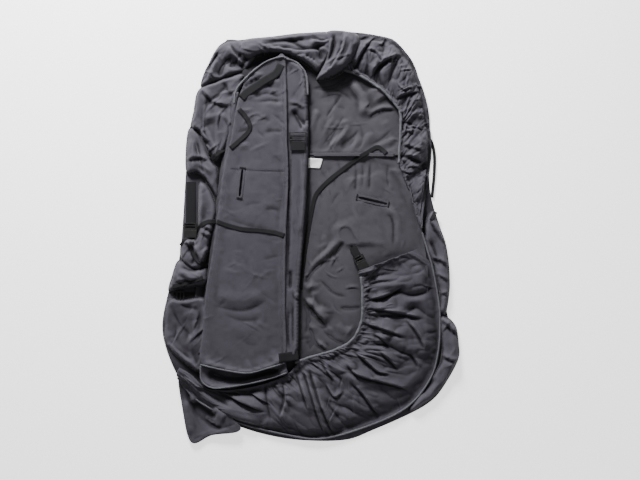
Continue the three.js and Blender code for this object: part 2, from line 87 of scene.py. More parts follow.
# curves on the plan
def smooth(points, spacing=0.004, closed=False):
    p = np.asarray(points, float)
    n = len(p)
    if n == 2 and not closed:
        t = np.linspace(0, 1, max(2, int(np.linalg.norm(p[1] - p[0]) / spacing) + 1))[:, None]
        return p[0] * (1 - t) + p[1] * t
    if closed:
        p = np.vstack([p[-1], p, p[0], p[1]])
    else:
        p = np.vstack([2 * p[0] - p[1], p, 2 * p[-1] - p[-2]])
    t = np.linspace(0, 1, 16, endpoint=False)[:, None]
    out = []
    for i in range(1, len(p) - 2):
        a, b, c, d = p[i - 1], p[i], p[i + 1], p[i + 2]
        bend = (2 * a - 5 * b + 4 * c - d) * t ** 2
        twist = (3 * b - a - 3 * c + d) * t ** 3
        out.append(0.5 * (2 * b + (c - a) * t + bend + twist))
    q = np.vstack(out + [p[-2][None]])
    return evenly(q, spacing)


def evenly(q, spacing=None, count=None):
    step = np.linalg.norm(np.diff(q, axis=0), axis=1)
    run = np.concatenate([[0], np.cumsum(step)])
    count = count or max(2, int(round(run[-1] / spacing)) + 1)
    at = np.linspace(0, run[-1], count)
    return np.stack([np.interp(at, run, q[:, k]) for k in range(q.shape[1])], 1)


def toLine(xy, line):
    # nearest distance to an open line, which side of it, and how far along it, from 0 to 1
    a, b = line[:-1], line[1:]
    ab = b - a
    length2 = (ab ** 2).sum(1) + 1e-18
    t = np.clip(((xy[:, None] - a[None]) * ab[None]).sum(2) / length2, 0, 1)
    near = a[None] + t[..., None] * ab[None]
    away = xy[:, None] - near
    d2 = (away ** 2).sum(2)
    best = d2.argmin(1)
    rows = np.arange(len(xy))
    cross = ab[best, 0] * away[rows, best, 1] - ab[best, 1] * away[rows, best, 0]
    return np.sqrt(d2[rows, best]), np.sign(cross), (best + t[rows, best]) / len(a)


def inside(xy, loop):
    x, y = xy[:, 0][:, None], xy[:, 1][:, None]
    a, b = loop, np.roll(loop, -1, 0)
    crosses = (a[:, 1] > y) != (b[:, 1] > y)
    slope = (b[:, 0] - a[:, 0]) / np.where(b[:, 1] == a[:, 1], 1e-12, b[:, 1] - a[:, 1])
    hit = crosses & (x < slope * (y - a[:, 1]) + a[:, 0])
    return hit.sum(1) % 2 == 1


def noise(x, y, cell, seed):
    rng = np.random.default_rng(seed)
    table = rng.uniform(-1, 1, (64, 64))
    u, v = np.asarray(x) / cell + 31.7, np.asarray(y) / cell + 17.3
    i, j = np.floor(u).astype(int), np.floor(v).astype(int)
    f, g = u - i, v - j
    f, g = f * f * (3 - 2 * f), g * g * (3 - 2 * g)
    value = lambda a, b: table[a % 64, b % 64]
    top = value(i, j) * (1 - f) + value(i + 1, j) * f
    low = value(i, j + 1) * (1 - f) + value(i + 1, j + 1) * f
    return top * (1 - g) + low * g


def step01(x, low, high):
    t = np.clip((x - low) / (high - low), 0, 1)
    return t * t * (3 - 2 * t)


# folds: what a crease, ridge or lapped edge does to the height of the cloth round it
def lift(xy, folds):
    z = np.zeros(len(xy))
    for fold in folds:
        kind, points, width, height = fold[:4]
        line = smooth(spots(points), 0.006)
        w = width * mm
        reach = 4 * w
        close = np.all((xy > line.min(0) - reach) & (xy < line.max(0) + reach), axis=1)
        if not close.any():
            continue
        d, side, run = toLine(xy[close], line)
        ends = fold[4] if len(fold) > 4 else 0.25
        taper = np.clip(np.minimum(run, 1 - run) / max(ends, 1e-6), 0, 1) if ends else np.ones(len(d))
        taper = taper * taper * (3 - 2 * taper)
        if kind == "ridge":
            z[close] += height * mm * taper * np.exp(-((d / w) ** 2))
        elif kind == "crease":
            z[close] -= height * mm * taper * np.exp(-(d / w) ** 1.2)
        elif kind == "lap":
            # a lapped edge: high on the left of the line, dropping sharply to the right
            up = np.exp(-((d / w) ** 2))
            drop = -0.45 * np.exp(-(d / (0.5 * w)) ** 2)
            s = np.clip(d * side / (1.4 * mm), -1, 1) * 0.5 + 0.5
            z[close] += height * mm * taper * (up * s + drop * (1 - s))
    return z


# meshes
def newObject(name, points, faces):
    mesh = bpy.data.meshes.new(name)
    mesh.from_pydata([tuple(p) for p in points], [], [tuple(f) for f in faces])
    mesh.validate()
    mesh.update()
    made = bpy.data.objects.new(name, mesh)
    scene.collection.objects.link(made)
    for face in mesh.polygons:
        face.use_smooth = True
    return made


def positions(obj):
    out = np.empty(len(obj.data.vertices) * 3)
    obj.data.vertices.foreach_get("co", out)
    return out.reshape(-1, 3)


def setPositions(obj, points):
    obj.data.vertices.foreach_set("co", np.asarray(points, float).ravel())
    obj.data.update()


def applyModifiers(obj):
    graph = bpy.context.evaluated_depsgraph_get()
    mesh = bpy.data.meshes.new_from_object(obj.evaluated_get(graph), preserve_all_data_layers=True,
        depsgraph=graph)
    obj.modifiers.clear()
    old = obj.data
    obj.data = mesh
    bpy.data.meshes.remove(old)
    for face in obj.data.polygons:
        face.use_smooth = True


def fillOutline(loop, spacing, holes=()):
    # a sheet of even triangles inside a loop, with its holes cut out
    low, high = loop.min(0), loop.max(0)
    rows = np.arange(low[1], high[1], spacing * 0.866)
    grid = []
    for k, y in enumerate(rows):
        x = np.arange(low[0] + (k % 2) * spacing / 2, high[0], spacing)
        grid.append(np.stack([x, np.full(len(x), y)], 1))
    grid = np.vstack(grid)
    closed = np.vstack([loop, loop[:1]])
    keep = inside(grid, loop) & (toLine(grid, closed)[0] > 0.6 * spacing)
    for hole in holes:
        keep &= ~inside(grid, hole) & (toLine(grid, np.vstack([hole, hole[:1]]))[0] > 0.5 * spacing)
    grid = grid[keep]
    rings = [loop, *holes]
    edges, start = [], 0
    for ring in rings:
        edges += [(start + i, start + (i + 1) % len(ring)) for i in range(len(ring))]
        start += len(ring)
    corners = np.vstack([*rings, grid])
    made = geometry.delaunay_2d_cdt([Vector(p) for p in corners], edges, [], 0, 1e-7)
    xy = np.array([tuple(v) for v in made[0]])
    faces = np.array([f for f in made[2] if len(f) == 3])
    middle = xy[faces].mean(1)
    ok = inside(middle, loop)
    for hole in holes:
        ok &= ~inside(middle, hole)
    faces = faces[ok]
    used = np.unique(faces)
    index = np.full(len(xy), -1)
    index[used] = np.arange(len(used))
    return xy[used], index[faces]


waiting = []   # sheets that settle together in one run of the cloth solver
foldLines = {}   # each sheet's folds, kept for the crisp creases pressed in afterwards


def sheetPiece(name, outline, level, folds=(), spacing=8.0, holes=(), edgeDrop=0.0, edgeWidth=12.0,
               crown=0.0, wrinkle=1.0, stretch=1.03, seed=1, ceiling=None, cap=9.0, tilt=None, floor=None):
    # one sheet of cloth on the plan, before it settles
    loop = smooth(spots(outline), spacing * mm, closed=True)[:-1]
    cuts = [smooth(spots(h), spacing * mm * 0.6, closed=True)[:-1] for h in holes]
    xy, faces = fillOutline(loop, spacing * mm, cuts)
    edge = toLine(xy, np.vstack([loop, loop[:1]]))[0]
    z = level + lift(xy, folds)
    reach = edge.max()
    z += crown * mm * (1 - (1 - np.clip(edge / reach, 0, 1)) ** 2)
    z -= edgeDrop * mm * (1 - step01(edge, 0, edgeWidth * mm)) ** 1.5
    z += wrinkle * mm * (1.6 * noise(xy[:, 0], xy[:, 1], 0.07, seed) + 0.8 * noise(xy[:, 0], xy[:, 1], 0.03,
        seed + 1))
    if tilt is not None:
        z += tilt(xy)
    obj = newObject(name, np.column_stack([xy, z]), faces)
    keepFlat(obj, xy)
    waiting.append({"obj": obj, "edge": edge, "stretch": stretch, "cap": cap * mm, "floor": floor,
        "ceiling": ceiling})
    foldLines[name] = folds
    return obj


def keepFlat(obj, flat):
    # the flat cut, in metres, for the weave
    layer = obj.data.uv_layers.new(name="weave")
    corner = np.empty(len(obj.data.loops), int)
    obj.data.loops.foreach_get("vertex_index", corner)
    layer.data.foreach_set("uv", np.asarray(flat, float)[corner].ravel())


def stripPiece(name, inner, outer, rows, columns, heights, gathers, level, stretch=1.05, cap=9.0,
               creases=(), calm=None):
    # a gathered strip between its hem, where t is 0, and its outer edge, where t is 1
    a = evenly(smooth(spots(inner), 0.004), count=columns)
    b = evenly(smooth(spots(outer), 0.004), count=columns)
    s = np.linspace(0, 1, columns)
    t = np.linspace(0, 1, rows)
    tt, ss = np.meshgrid(t, s, indexing="ij")
    xy = a[None] * (1 - tt[..., None]) + b[None] * tt[..., None]
    length = np.linalg.norm(np.diff(a, axis=0), axis=1).sum()
    outerLength = np.linalg.norm(np.diff(b, axis=0), axis=1).sum()
    run = ss * length
    width = np.linalg.norm(b - a, axis=1)[None] * tt
    z = np.interp(tt, heights[0], np.array(heights[1]) * mm)
    for pitch, size, begin, end, warp, key in gathers:
        # rounded tops with sharp valleys, at a spacing that grows from the hem outwards
        shift = warp * mm * noise(run * 0 + ss * outerLength, width, 0.05, key + 7)
        wave = noise(run + shift, width * 0.35, pitch * mm, key)
        bump = np.abs(wave) ** 0.75 * 2 - 0.8
        envelope = step01(tt, begin[0], begin[1]) * (1 - step01(tt, end[0], end[1]))
        z += size * mm * bump * envelope
    flatXy = np.stack([ss * outerLength, width], 2).reshape(-1, 2)
    xy = xy.reshape(-1, 2)
    if calm:
        # the gathers die out towards one end
        plain = np.interp(tt, heights[0], np.array(heights[1]) * mm).ravel()
        share = step01(xy[:, 0], calm[0] * mm, calm[1] * mm)
        z = (plain + (z.ravel() - plain) * (0.12 + 0.88 * share))
    z = level + z.ravel() + lift(xy, creases) * step01(tt.ravel(), 0.0, 0.12)
    faces = []
    for i in range(rows - 1):
        for j in range(columns - 1):
            k = i * columns + j
            faces.append((k, k + 1, k + columns + 1, k + columns))
    obj = newObject(name, np.column_stack([xy, z]), faces)
    keepFlat(obj, flatXy)
    edge = np.minimum(tt, 1 - tt).ravel() * 0.3
    edge = np.minimum(edge, np.minimum(ss, 1 - ss).ravel() * length)
    waiting.append({"obj": obj, "edge": edge, "stretch": stretch, "cap": cap * mm, "floor": shellTop,
        "ceiling": None})
    foldLines[name] = creases
    return obj


clothRun = {"frames": 20, "quality": 4, "mass": 0.2, "stretchStiffness": 14.0, "bend": 0.05, "gravity": 0.1}


def settleAll():
    # every waiting sheet wants to be a little larger than its place, so it buckles into soft wrinkles
    start = {}
    for job in waiting:
        obj = job["obj"]
        rest = positions(obj)
        start[obj.name] = rest.copy()
        middle = rest.mean(0)
        obj.shape_key_add(name="Basis")
        key = obj.shape_key_add(name="cut")
        grown = middle + (rest - middle) * job["stretch"]
        key.data.foreach_set("co", grown.ravel())
        key.value = 0.0
        pin = obj.vertex_groups.new(name="held")
        held = np.where(job["edge"] < 1e-4)[0]
        pin.add([int(i) for i in held], 1.0, "REPLACE")
        modifier = obj.modifiers.new("settle", "CLOTH")
        cloth = modifier.settings
        cloth.vertex_group_mass = "held"
        cloth.rest_shape_key = key
        cloth.quality = clothRun["quality"]
        cloth.mass = clothRun["mass"]
        cloth.tension_stiffness = clothRun["stretchStiffness"]
        cloth.compression_stiffness = clothRun["stretchStiffness"]
        cloth.shear_stiffness = 4.0
        cloth.bending_stiffness = clothRun["bend"]
        cloth.air_damping = 2.0
        cloth.effector_weights.gravity = clothRun["gravity"]
        modifier.collision_settings.use_collision = False
        modifier.point_cache.frame_start = 1
        modifier.point_cache.frame_end = clothRun["frames"] + 1
    for number in range(1, clothRun["frames"] + 1):
        scene.frame_set(number)
    graph = bpy.context.evaluated_depsgraph_get()
    for job in waiting:
        obj = job["obj"]
        mesh = obj.evaluated_get(graph).to_mesh()
        moved = np.empty(len(mesh.vertices) * 3)
        mesh.vertices.foreach_get("co", moved)
        moved = moved.reshape(-1, 3)
        shift = moved - start[obj.name]
        size = np.linalg.norm(shift, axis=1)
        shift *= np.minimum(1, job["cap"] / np.maximum(size, 1e-9))[:, None]
        moved = start[obj.name] + shift
        if job["floor"] is not None:
            moved[:, 2] = np.maximum(moved[:, 2], job["floor"])
        if job["ceiling"] is not None:
            moved[:, 2] = np.minimum(moved[:, 2], job["ceiling"])
        obj.evaluated_get(graph).to_mesh_clear()
        obj.modifiers.clear()
        obj.shape_key_clear()
        obj.vertex_groups.clear()
        setPositions(obj, moved)
    scene.frame_set(1)
    waiting.clear()


def strewn(area, count, seed, angle=0.0, spread=60.0, length=(25, 70), height=(1.0, 2.6), width=(3.5, 8.0)):
    # small creases and ridges scattered over a stretch of cloth: area is its low and high corner in
    # pattern mm
    rng = np.random.default_rng(seed)
    folds = []
    for number in range(count):
        x, y = rng.uniform(area[0][0], area[1][0]), rng.uniform(area[0][1], area[1][1])
        turn = math.radians(angle + rng.normal(0, spread))
        reach, bow = rng.uniform(*length) / 2, rng.normal(0, 0.16)
        c, s = math.cos(turn), math.sin(turn)
        points = [(x + c * u * reach - s * v * reach, y + s * u * reach + c * v * reach)
                  for u, v in ((-1, 0), (-0.4, bow), (0.3, bow * 1.2), (1, 0.1 * bow))]
        kind = ("crease", "lap", "ridge")[number % 3]
        folds.append((kind, points, rng.uniform(*width), rng.uniform(*height), 0.45))
    return folds


def finishCloth(obj, thickness=1.4, fine=(), grain=0.25, seed=11, subdivide=1, small=(), rooms=()):
    # finer mesh, then the crisp creases and narrow seams, then the thickness of the canvas
    if subdivide:
        modifier = obj.modifiers.new("fine", "SUBSURF")
        modifier.levels = modifier.render_levels = subdivide
        modifier.boundary_smooth = "PRESERVE_CORNERS"
        applyModifiers(obj)
    p = positions(obj)
    pressed = [("crease", f[1], 3.8, 0.42 * f[3], 0.3) for f in foldLines.get(obj.name,
        ()) if f[0] != "ridge"]
    p[:, 2] += lift(p[:, :2], [*pressed, *fine, *small])
    p[:, 2] += grain * mm * noise(p[:, 0], p[:, 1], 0.011, seed)
    for a, b, radius, top in rooms:
        # the cloth stays under a fitting: a and b are the ends of its place, in pattern mm
        away = toLine(p[:, :2], spots([a, b]))[0] - radius * mm
        p[:, 2] = np.minimum(p[:, 2], top * mm + 0.6 * np.maximum(away, 0))
    p[:, 2] = np.maximum(p[:, 2], thickness * mm + 0.0004)
    setPositions(obj, p)
    modifier = obj.modifiers.new("canvas", "SOLIDIFY")
    modifier.thickness = thickness * mm
    modifier.offset = -1
    applyModifiers(obj)


def tubeMesh(name, line, radius, sides=8, roughen=0.0, seed=5):
    # a closed round section along a line of points
    line = np.asarray(line, float)
    n = len(line)
    along = np.gradient(line, axis=0)
    along /= np.linalg.norm(along, axis=1)[:, None] + 1e-12
    across = np.cross(along, [0, 0, 1.0])
    across /= np.linalg.norm(across, axis=1)[:, None] + 1e-12
    up = np.cross(across, along)
    turn = np.linspace(0, 2 * math.pi, sides, endpoint=False)
    r = radius * (1 + roughen * noise(np.arange(n) * 0.001, np.zeros(n), 0.003, seed))
    ring = (np.cos(turn)[None, :, None] * across[:, None] + np.sin(turn)[None, :, None] * up[:, None])
    points = (line[:, None] + ring * r[:, None, None]).reshape(-1, 3)
    faces = []
    for i in range(n - 1):
        for k in range(sides):
            a, b = i * sides + k, i * sides + (k + 1) % sides
            faces.append((a, b, b + sides, a + sides))
    faces.append(tuple(range(sides - 1, -1, -1)))
    faces.append(tuple((n - 1) * sides + k for k in range(sides)))
    return newObject(name, points, faces)


def tapeMesh(name, line, width, thickness, twist=0.0, seed=5):
    # a flat tape with rounded selvedges that follows a line of points
    line = np.asarray(line, float)
    n = len(line)
    along = np.gradient(line, axis=0)
    along /= np.linalg.norm(along, axis=1)[:, None] + 1e-12
    across = np.cross(along, [0, 0, 1.0])
    across /= np.linalg.norm(across, axis=1)[:, None] + 1e-12
    roll = twist * noise(np.arange(n) * 0.004, np.zeros(n), 0.04, seed)
    up = np.cross(across, along)
    side = across * np.cos(roll)[:, None] + up * np.sin(roll)[:, None]
    up = np.cross(side, along)
    up *= np.sign(up[:, 2:3] + 1e-9)
    w = np.full(n, width / 2)
    t = thickness / 2
    profile = [(-1, -0.4), (-0.97, -1), (-0.6, -1), (0, -1), (0.6, -1), (0.97, -1), (1, -0.4), (1, 0.4),
        (0.97, 1),
               (0.6, 0.92), (0, 0.86), (-0.6, 0.92), (-0.97, 1), (-1, 0.4)]
    ring = np.stack([side * (a * w)[:, None] + up * (b * t) for a, b in profile], 1)
    points = (line[:, None] + ring).reshape(-1, 3)
    sides = len(profile)
    faces = []
    for i in range(n - 1):
        for k in range(sides):
            a, b = i * sides + k, i * sides + (k + 1) % sides
            faces.append((a, b, b + sides, a + sides))
    faces.append(tuple(range(sides - 1, -1, -1)))
    faces.append(tuple((n - 1) * sides + k for k in range(sides)))
    obj = newObject(name, points, faces)
    run = np.concatenate([[0], np.cumsum(np.linalg.norm(np.diff(line, axis=0), axis=1))])
    flat = np.stack([np.repeat(run, sides), np.tile([a for a, b in profile], n) * np.repeat(w, sides)], 1)
    keepFlat(obj, flat)
    return obj


def boxMesh(name, low, high, bevel=0.0008):
    low, high = np.array(low, float), np.array(high, float)
    corners = [(x, y, z) for x in (low[0], high[0]) for y in (low[1], high[1]) for z in (low[2], high[2])]
    faces = [(0, 1, 3, 2), (4, 6, 7, 5), (0, 4, 5, 1), (2, 3, 7, 6), (0, 2, 6, 4), (1, 5, 7, 3)]
    obj = newObject(name, corners, faces)
    if bevel:
        modifier = obj.modifiers.new("edge", "BEVEL")
        modifier.width = bevel
        modifier.segments = 3
        modifier.limit_method = "NONE"
        applyModifiers(obj)
    return obj


def onto(points, sheets, lift0=0.001):
    # drop a line of points onto the top of the sheets below it
    out = np.array(points, float)
    graph = bpy.context.evaluated_depsgraph_get()
    for i, p in enumerate(out):
        best = None
        for sheet in sheets:
            hit, where, _, _ = sheet.ray_cast(Vector((p[0], p[1], 0.2)), Vector((0, 0, -1)))
            if hit and (best is None or where.z > best):
                best = where.z
        out[i, 2] = (best if best is not None else p[2]) + lift0
    return out


# shaders
class Wire:
    # a shader value that sums and products can be written with
    def __init__(self, shader, socket):
        self.shader, self.socket = shader, socket

    def maths(self, operation, *values):
        return self.shader.node("ShaderNodeMath", {"operation": operation}, dict(enumerate(values)))

    def __add__(self, other):
        return self.maths("ADD", self, other)

    def __radd__(self, other):
        return self.maths("ADD", other, self)

    def __sub__(self, other):
        return self.maths("SUBTRACT", self, other)

    def __rsub__(self, other):
        return self.maths("SUBTRACT", other, self)

    def __mul__(self, other):
        return self.maths("MULTIPLY", self, other)

    def __rmul__(self, other):
        return self.maths("MULTIPLY", other, self)

    def __truediv__(self, other):
        return self.maths("DIVIDE", self, other)

    def __pow__(self, other):
        return self.maths("POWER", self, other)

    def sine(self):
        return self.maths("SINE", self)

    def size(self):
        return self.maths("ABSOLUTE", self)

    def clamped(self):
        return self.maths("MINIMUM", self.maths("MAXIMUM", self, 0.0), 1.0)


class Shader:
    def __init__(self, name):
        self.material = bpy.data.materials.new(name)
        self.material.use_nodes = True
        self.tree = self.material.node_tree
        self.surface = self.tree.nodes["Principled BSDF"]

    def node(self, kind, settings=None, sockets=None, output=0):
        made = self.tree.nodes.new(kind)
        for key, value in (settings or {}).items():
            setattr(made, key, value)
        for key, value in (sockets or {}).items():
            self.plug(made.inputs[key], value)
        return Wire(self, made.outputs[output])

    def plug(self, socket, value):
        if isinstance(value, Wire):
            self.tree.links.new(value.socket, socket)
        else:
            socket.default_value = value

    def set(self, **values):
        for key, value in values.items():
            self.plug(self.surface.inputs[key.replace("_", " ")], value)
        return self.material

    def noise(self, where, scale, detail=3.0, rough=0.55):
        return self.node("ShaderNodeTexNoise", {}, {"Vector": where, "Scale": scale, "Detail": detail,
            "Roughness": rough})

    def colours(self, share, low, high):
        mix = self.node("ShaderNodeMix", {"data_type": "RGBA"}, {}, output=2)
        inputs = mix.socket.node.inputs
        self.plug(inputs[0], share)
        self.plug(inputs[6], (*low, 1) if isinstance(low, tuple) else low)
        self.plug(inputs[7], (*high, 1) if isinstance(high, tuple) else high)
        return mix

    def bump(self, height, strength, distance):
        return self.node("ShaderNodeBump", {}, {"Height": height, "Strength": strength,
            "Distance": distance})


def clothShader(name, dark, light, wearAndHighlight, pitch=0.0011, rough=0.86, sheen=0.06, rib=False):
    # woven cloth: threads both ways, slubs, a painted highlight on the crests and painted shade in the
    # creases and hollows
    shader = Shader(name)
    flat = shader.node("ShaderNodeUVMap", {"uv_map": "weave"})
    parts = shader.node("ShaderNodeSeparateXYZ", {}, {"Vector": flat})
    across = Wire(shader, parts.socket.node.outputs[0])
    along = Wire(shader, parts.socket.node.outputs[1])
    place = shader.node("ShaderNodeTexCoord", {}, {}, output=3)
    turns = 2 * math.pi / pitch
    slub = shader.noise(place, 260.0, 2.0)
    warp = (across * turns + slub * 1.5).sine()
    weft = (along * turns + slub * 1.5).sine()
    weave = (warp * warp * 0.6 + 0.4) if rib else (warp * weft).size()
    mottle = shader.noise(place, 9.0, 4.0)
    grime = shader.noise(place, 42.0, 5.0, 0.65)
    crest = shader.node("ShaderNodeAttribute", {"attribute_name": "crest"}, {}, output=2)
    share = (mottle * 0.7 + grime * 0.5 - 0.1 + weave * 0.12).clamped()
    ground = shader.colours(share, dark, light)
    # painted highlight: the colour turns paler where the cloth stands above the cloth round it
    crestHighlight = shader.colours((crest * 0.8 + grime * 0.3 - 0.15).clamped() * 0.3, ground, wearAndHighlight)
    # painted shade: the colour darkens in the creases, where the cloth lies below the cloth round it
    shade = shader.colours((crest * -1.3).clamped() * 0.8, crestHighlight, tuple(0.25 * c for c in dark))
    # painted shade: the colour darkens where the cloth lies below the blurred height of the whole pile,
    # under higher layers
    hollow = shader.node("ShaderNodeAttribute", {"attribute_name": "hollow"}, {}, output=2)
    shade = shader.colours(hollow * 0.8, shade, tuple(0.3 * c for c in dark))
    height = weave * 0.7 + slub * 0.5 + grime * 0.4
    shader.set(Base_Color=shade, Roughness=(grime * 0.14 + (rough - 0.08)).clamped(),
               Normal=shader.bump(height, 0.35, 0.0005))
    shader.set(Sheen_Weight=sheen, Sheen_Roughness=0.45, Specular_IOR_Level=0.14)
    return shader.material


def plasticShader(name, colour, wearAndHighlight, rough=0.5):
    # moulded plastic: fine grain, scuffs where it rubs
    shader = Shader(name)
    place = shader.node("ShaderNodeTexCoord", {}, {}, output=3)
    grain = shader.noise(place, 1400.0, 2.0)
    scuff = shader.noise(place, 180.0, 6.0, 0.7)
    mark = ((scuff - 0.56) * 6.0).clamped() * 0.5
    shader.set(Base_Color=shader.colours(mark, colour, wearAndHighlight),
        Roughness=(scuff * 0.25 + (rough - 0.1)).clamped(),
               Normal=shader.bump(grain, 0.25, 0.0002))
    shader.set(Specular_IOR_Level=0.3)
    return shader.material


# the third colour of each cloth is its painted highlight on the crests
canvasMaterial = clothShader("charcoalCanvas", (0.034, 0.031, 0.040), (0.056, 0.052, 0.064),
    (0.098, 0.094, 0.112))
innerMaterial = clothShader("innerCanvas", (0.036, 0.034, 0.041), (0.059, 0.056, 0.066),
    (0.10, 0.097, 0.112))
bindingMaterial = clothShader("edgeBinding", (0.055, 0.055, 0.065), (0.10, 0.10, 0.115), (0.16, 0.16, 0.18),
    pitch=0.0008)
tapeMaterial = clothShader("blackTape", (0.006, 0.006, 0.007), (0.012, 0.012, 0.014), (0.026, 0.026, 0.030),
                           pitch=0.0016, rough=0.8, sheen=0.05, rib=True)
threadMaterial = clothShader("sewingThread", (0.045, 0.043, 0.052), (0.072, 0.069, 0.082),
    (0.10, 0.10, 0.11), pitch=0.0004)
labelMaterial = clothShader("labelCloth", (0.72, 0.72, 0.72), (0.86, 0.86, 0.86), (0.92, 0.92, 0.92),
    pitch=0.0006,
                            sheen=0.05)
plasticMaterial = plasticShader("buckleBlack", (0.006, 0.006, 0.0065), (0.03, 0.03, 0.032))
print("cover: shaders made")


def paintCrest(obj, rounds=4, gain=420.0):
    # how far each point stands above or below the cloth round it, for the painted highlight on crests and
    # the painted shade in creases
    mesh = obj.data
    n = len(mesh.vertices)
    edges = np.empty(len(mesh.edges) * 2, int)
    mesh.edges.foreach_get("vertices", edges)
    a, b = edges.reshape(-1, 2).T
    z = positions(obj)[:, 2].copy()
    count = np.bincount(a, minlength=n) + np.bincount(b, minlength=n)
    blurred = z.copy()
    crest = np.zeros(n)
    for turn in range(rounds * 18):
        total = np.bincount(a, blurred[b], n) + np.bincount(b, blurred[a], n)
        blurred = 0.5 * blurred + 0.5 * total / np.maximum(count, 1)
        if turn == rounds * 3:
            crest += (z - blurred) * gain
    crest += (z - blurred) * gain * 0.45
    crest = np.clip(crest, -1, 1)
    layer = mesh.attributes.new("crest", "FLOAT", "POINT")
    layer.data.foreach_set("value", crest.astype(np.float32))


heightField = {}


def measureHeights(objects, cell=0.005):
    # the highest cloth over each cell of the plan, then blurred wide, for the painted shade in hollows
    low = np.array([cadLow.x - 0.05, cadLow.y - 0.05])
    size = (np.array([cadHigh.x + 0.05, cadHigh.y + 0.05]) - low) / cell
    field = np.zeros((int(size[0]) + 1, int(size[1]) + 1))
    for obj in objects:
        p = positions(obj)
        at = ((p[:, :2] - low) / cell).astype(int)
        np.maximum.at(field, (at[:, 0], at[:, 1]), p[:, 2])
    for _ in range(2):
        grown = np.maximum.reduce([np.roll(field, shift, axis) for axis in (0, 1) for shift in (-1, 1)])
        field = np.where(field > 0, field, grown)
    for _ in range(60):
        for axis in (0, 1):
            field = 0.5 * field + 0.25 * (np.roll(field, 1, axis) + np.roll(field, -1, axis))
    heightField.update(low=low, cell=cell, field=field)


# how far each point lies below the blurred highest cloth, which the cloth shader darkens as painted shade
def paintHollow(obj):
    p = positions(obj)
    at = ((p[:, :2] - heightField["low"]) / heightField["cell"]).astype(int)
    hollow = np.clip((heightField["field"][at[:, 0], at[:, 1]] - p[:, 2] - 0.0015) / 0.011, 0, 1)
    layer = obj.data.attributes.new("hollow", "FLOAT", "POINT")
    layer.data.foreach_set("value", hollow.astype(np.float32))


def dress(obj, material, body, nodes=(), crest=True):
    obj.data.materials.clear()
    obj.data.materials.append(material)
    if crest:
        paintCrest(obj)
    if heightField:
        paintHollow(obj)
    if body:
        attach(obj, body)
    if nodes:
        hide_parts(*nodes)
    return obj


# outlines, the same ones that the frame was cut to
shellOutline = [
    (-228, 500), (-180, 508), (-60, 520), (70, 530), (180, 519), (232, 494), (284, 398), (308, 300),
    (306, 200), (309, 110), (330, 30), (349, -26), (358, -110), (350, -200), (375, -250), (377, -310),
    (339, -390), (286, -440), (160, -498), (80, -524), (-60, -520), (-190, -486), (-290, -426),
    (-345, -352), (-380, -250), (-368, -155), (-337, -50), (-322, 180), (-314, 275), (-285, 385)]
tailOutline = [(-336, -352), (-282, -410), (-188, -476), (-184, -500), (-250, -510), (-303, -529),
    (-326, -446)]
seatOutline = [
    (-264, 190), (-160, 200), (0, 203), (140, 206), (220, 204), (246, 130), (280, 50), (300, -80),
    (300, -160), (296, -270), (250, -352), (150, -400), (20, -420), (-130, -420), (-230, -380),
    (-290, -300), (-298, -188), (-290, -118), (-266, -60)]
backrestOutline = [
    (-280, 222), (-160, 212), (0, 206), (140, 206), (216, 205), (262, 215), (286, 290), (262, 392),
    (220, 470), (150, 492), (0, 496), (-180, 480), (-250, 400)]
hemLower = [(129, -108), (132, -130), (133, -169), (130, -221), (107, -268), (63, -294), (19, -307),
    (-20, -319)]
hemUpper = [(84, 428), (128, 411), (180, 377), (211, 346), (231, 316), (232, 273), (229, 221), (228, 184)]
flapTopOutline = [
    (-66, 452), (-60, 247), (-57, 143), (-63, 0), (-65, -169), (-64, -326), (-110, -340), (-158, -353),
    (-210, -346), (-277, -330), (-274, -247), (-266, -143), (-253, -65), (-240, 26), (-222, 169),
    (-204, 247), (-191, 325), (-178, 372), (-150, 418), (-116, 444), (-92, 453)]
flapUnderOutline = [
    (-72, 440), (-66, 247), (-62, 143), (-70, 0), (-70, -169), (-62, -330), (-58, -352), (-100, -366),
    (-158, -380), (-210, -388), (-249, -390), (-276, -374), (-280, -330), (-271, -247), (-263, -143),
    (-250, -65), (-237, 26), (-219, 169), (-201, 247), (-188, 325), (-165, 390), (-130, 430), (-100, 442)]
boxingOutline = [
    (-78, 448), (-40, 446), (-14, 416), (-6, 325), (-5, 221), (-10, 91), (-18, -13), (-28, -143),
    (-29, -230), (-33, -300), (-60, -316), (-78, -240), (-78, -60), (-76, 143), (-78, 247)]


def slotLoop(x, y, length, width, degrees):
    # the cut edge of a slot, as a closed loop of pattern points
    turn = math.radians(degrees)
    c, s = math.cos(turn), math.sin(turn)
    half, wide = length / 2, width / 2
    local = [(-half, 0), (-half + 3, wide * 0.8), (-half / 2, wide), (0, wide), (half / 2, wide),
        (half - 3, wide * 0.8),
             (half, 0), (half - 3, -wide * 0.8), (half / 2, -wide), (0, -wide), (-half / 2, -wide),
             (-half + 3, -wide * 0.8)]
    return [(x + u * c - v * s, y + u * s + v * c) for u, v in local]


# the cover underneath
shell = sheetPiece("outerShell", shellOutline, 0.0028, [
    ("ridge", [(300, 60), (330, 0), (345, -90)], 16, 5),
    ("ridge", [(-40, -505), (60, -510), (180, -480)], 14, 5),
    ("ridge", [(250, 455), (292, 360), (300, 270)], 14, 5)],
    spacing=14, wrinkle=0.6, edgeDrop=1.2, stretch=1.0, floor=0.0016, seed=21)

tail = sheetPiece("hemTail", tailOutline, 0.0085, [
    ("crease", [(-306, -424), (-276, -446), (-236, -470)], 11, 12, 0.2),
    ("lap", [(-318, -392), (-296, -440), (-258, -478), (-214, -494)], 18, 9),
    ("ridge", [(-322, -410), (-312, -470), (-304, -518)], 9, 5),
    ("crease", [(-300, -418), (-270, -462), (-226, -486)], 8, 6),
    ("ridge", [(-250, -440), (-214, -470)], 16, 7),
    ("ridge", [(-290, -516), (-250, -504), (-200, -492)], 6, 4)], spacing=6, wrinkle=1.4, stretch=1.03,
    floor=0.0022, seed=24,
    tilt=lambda xy: 0.006 * step01(xy[:, 0], -0.30, -0.19))

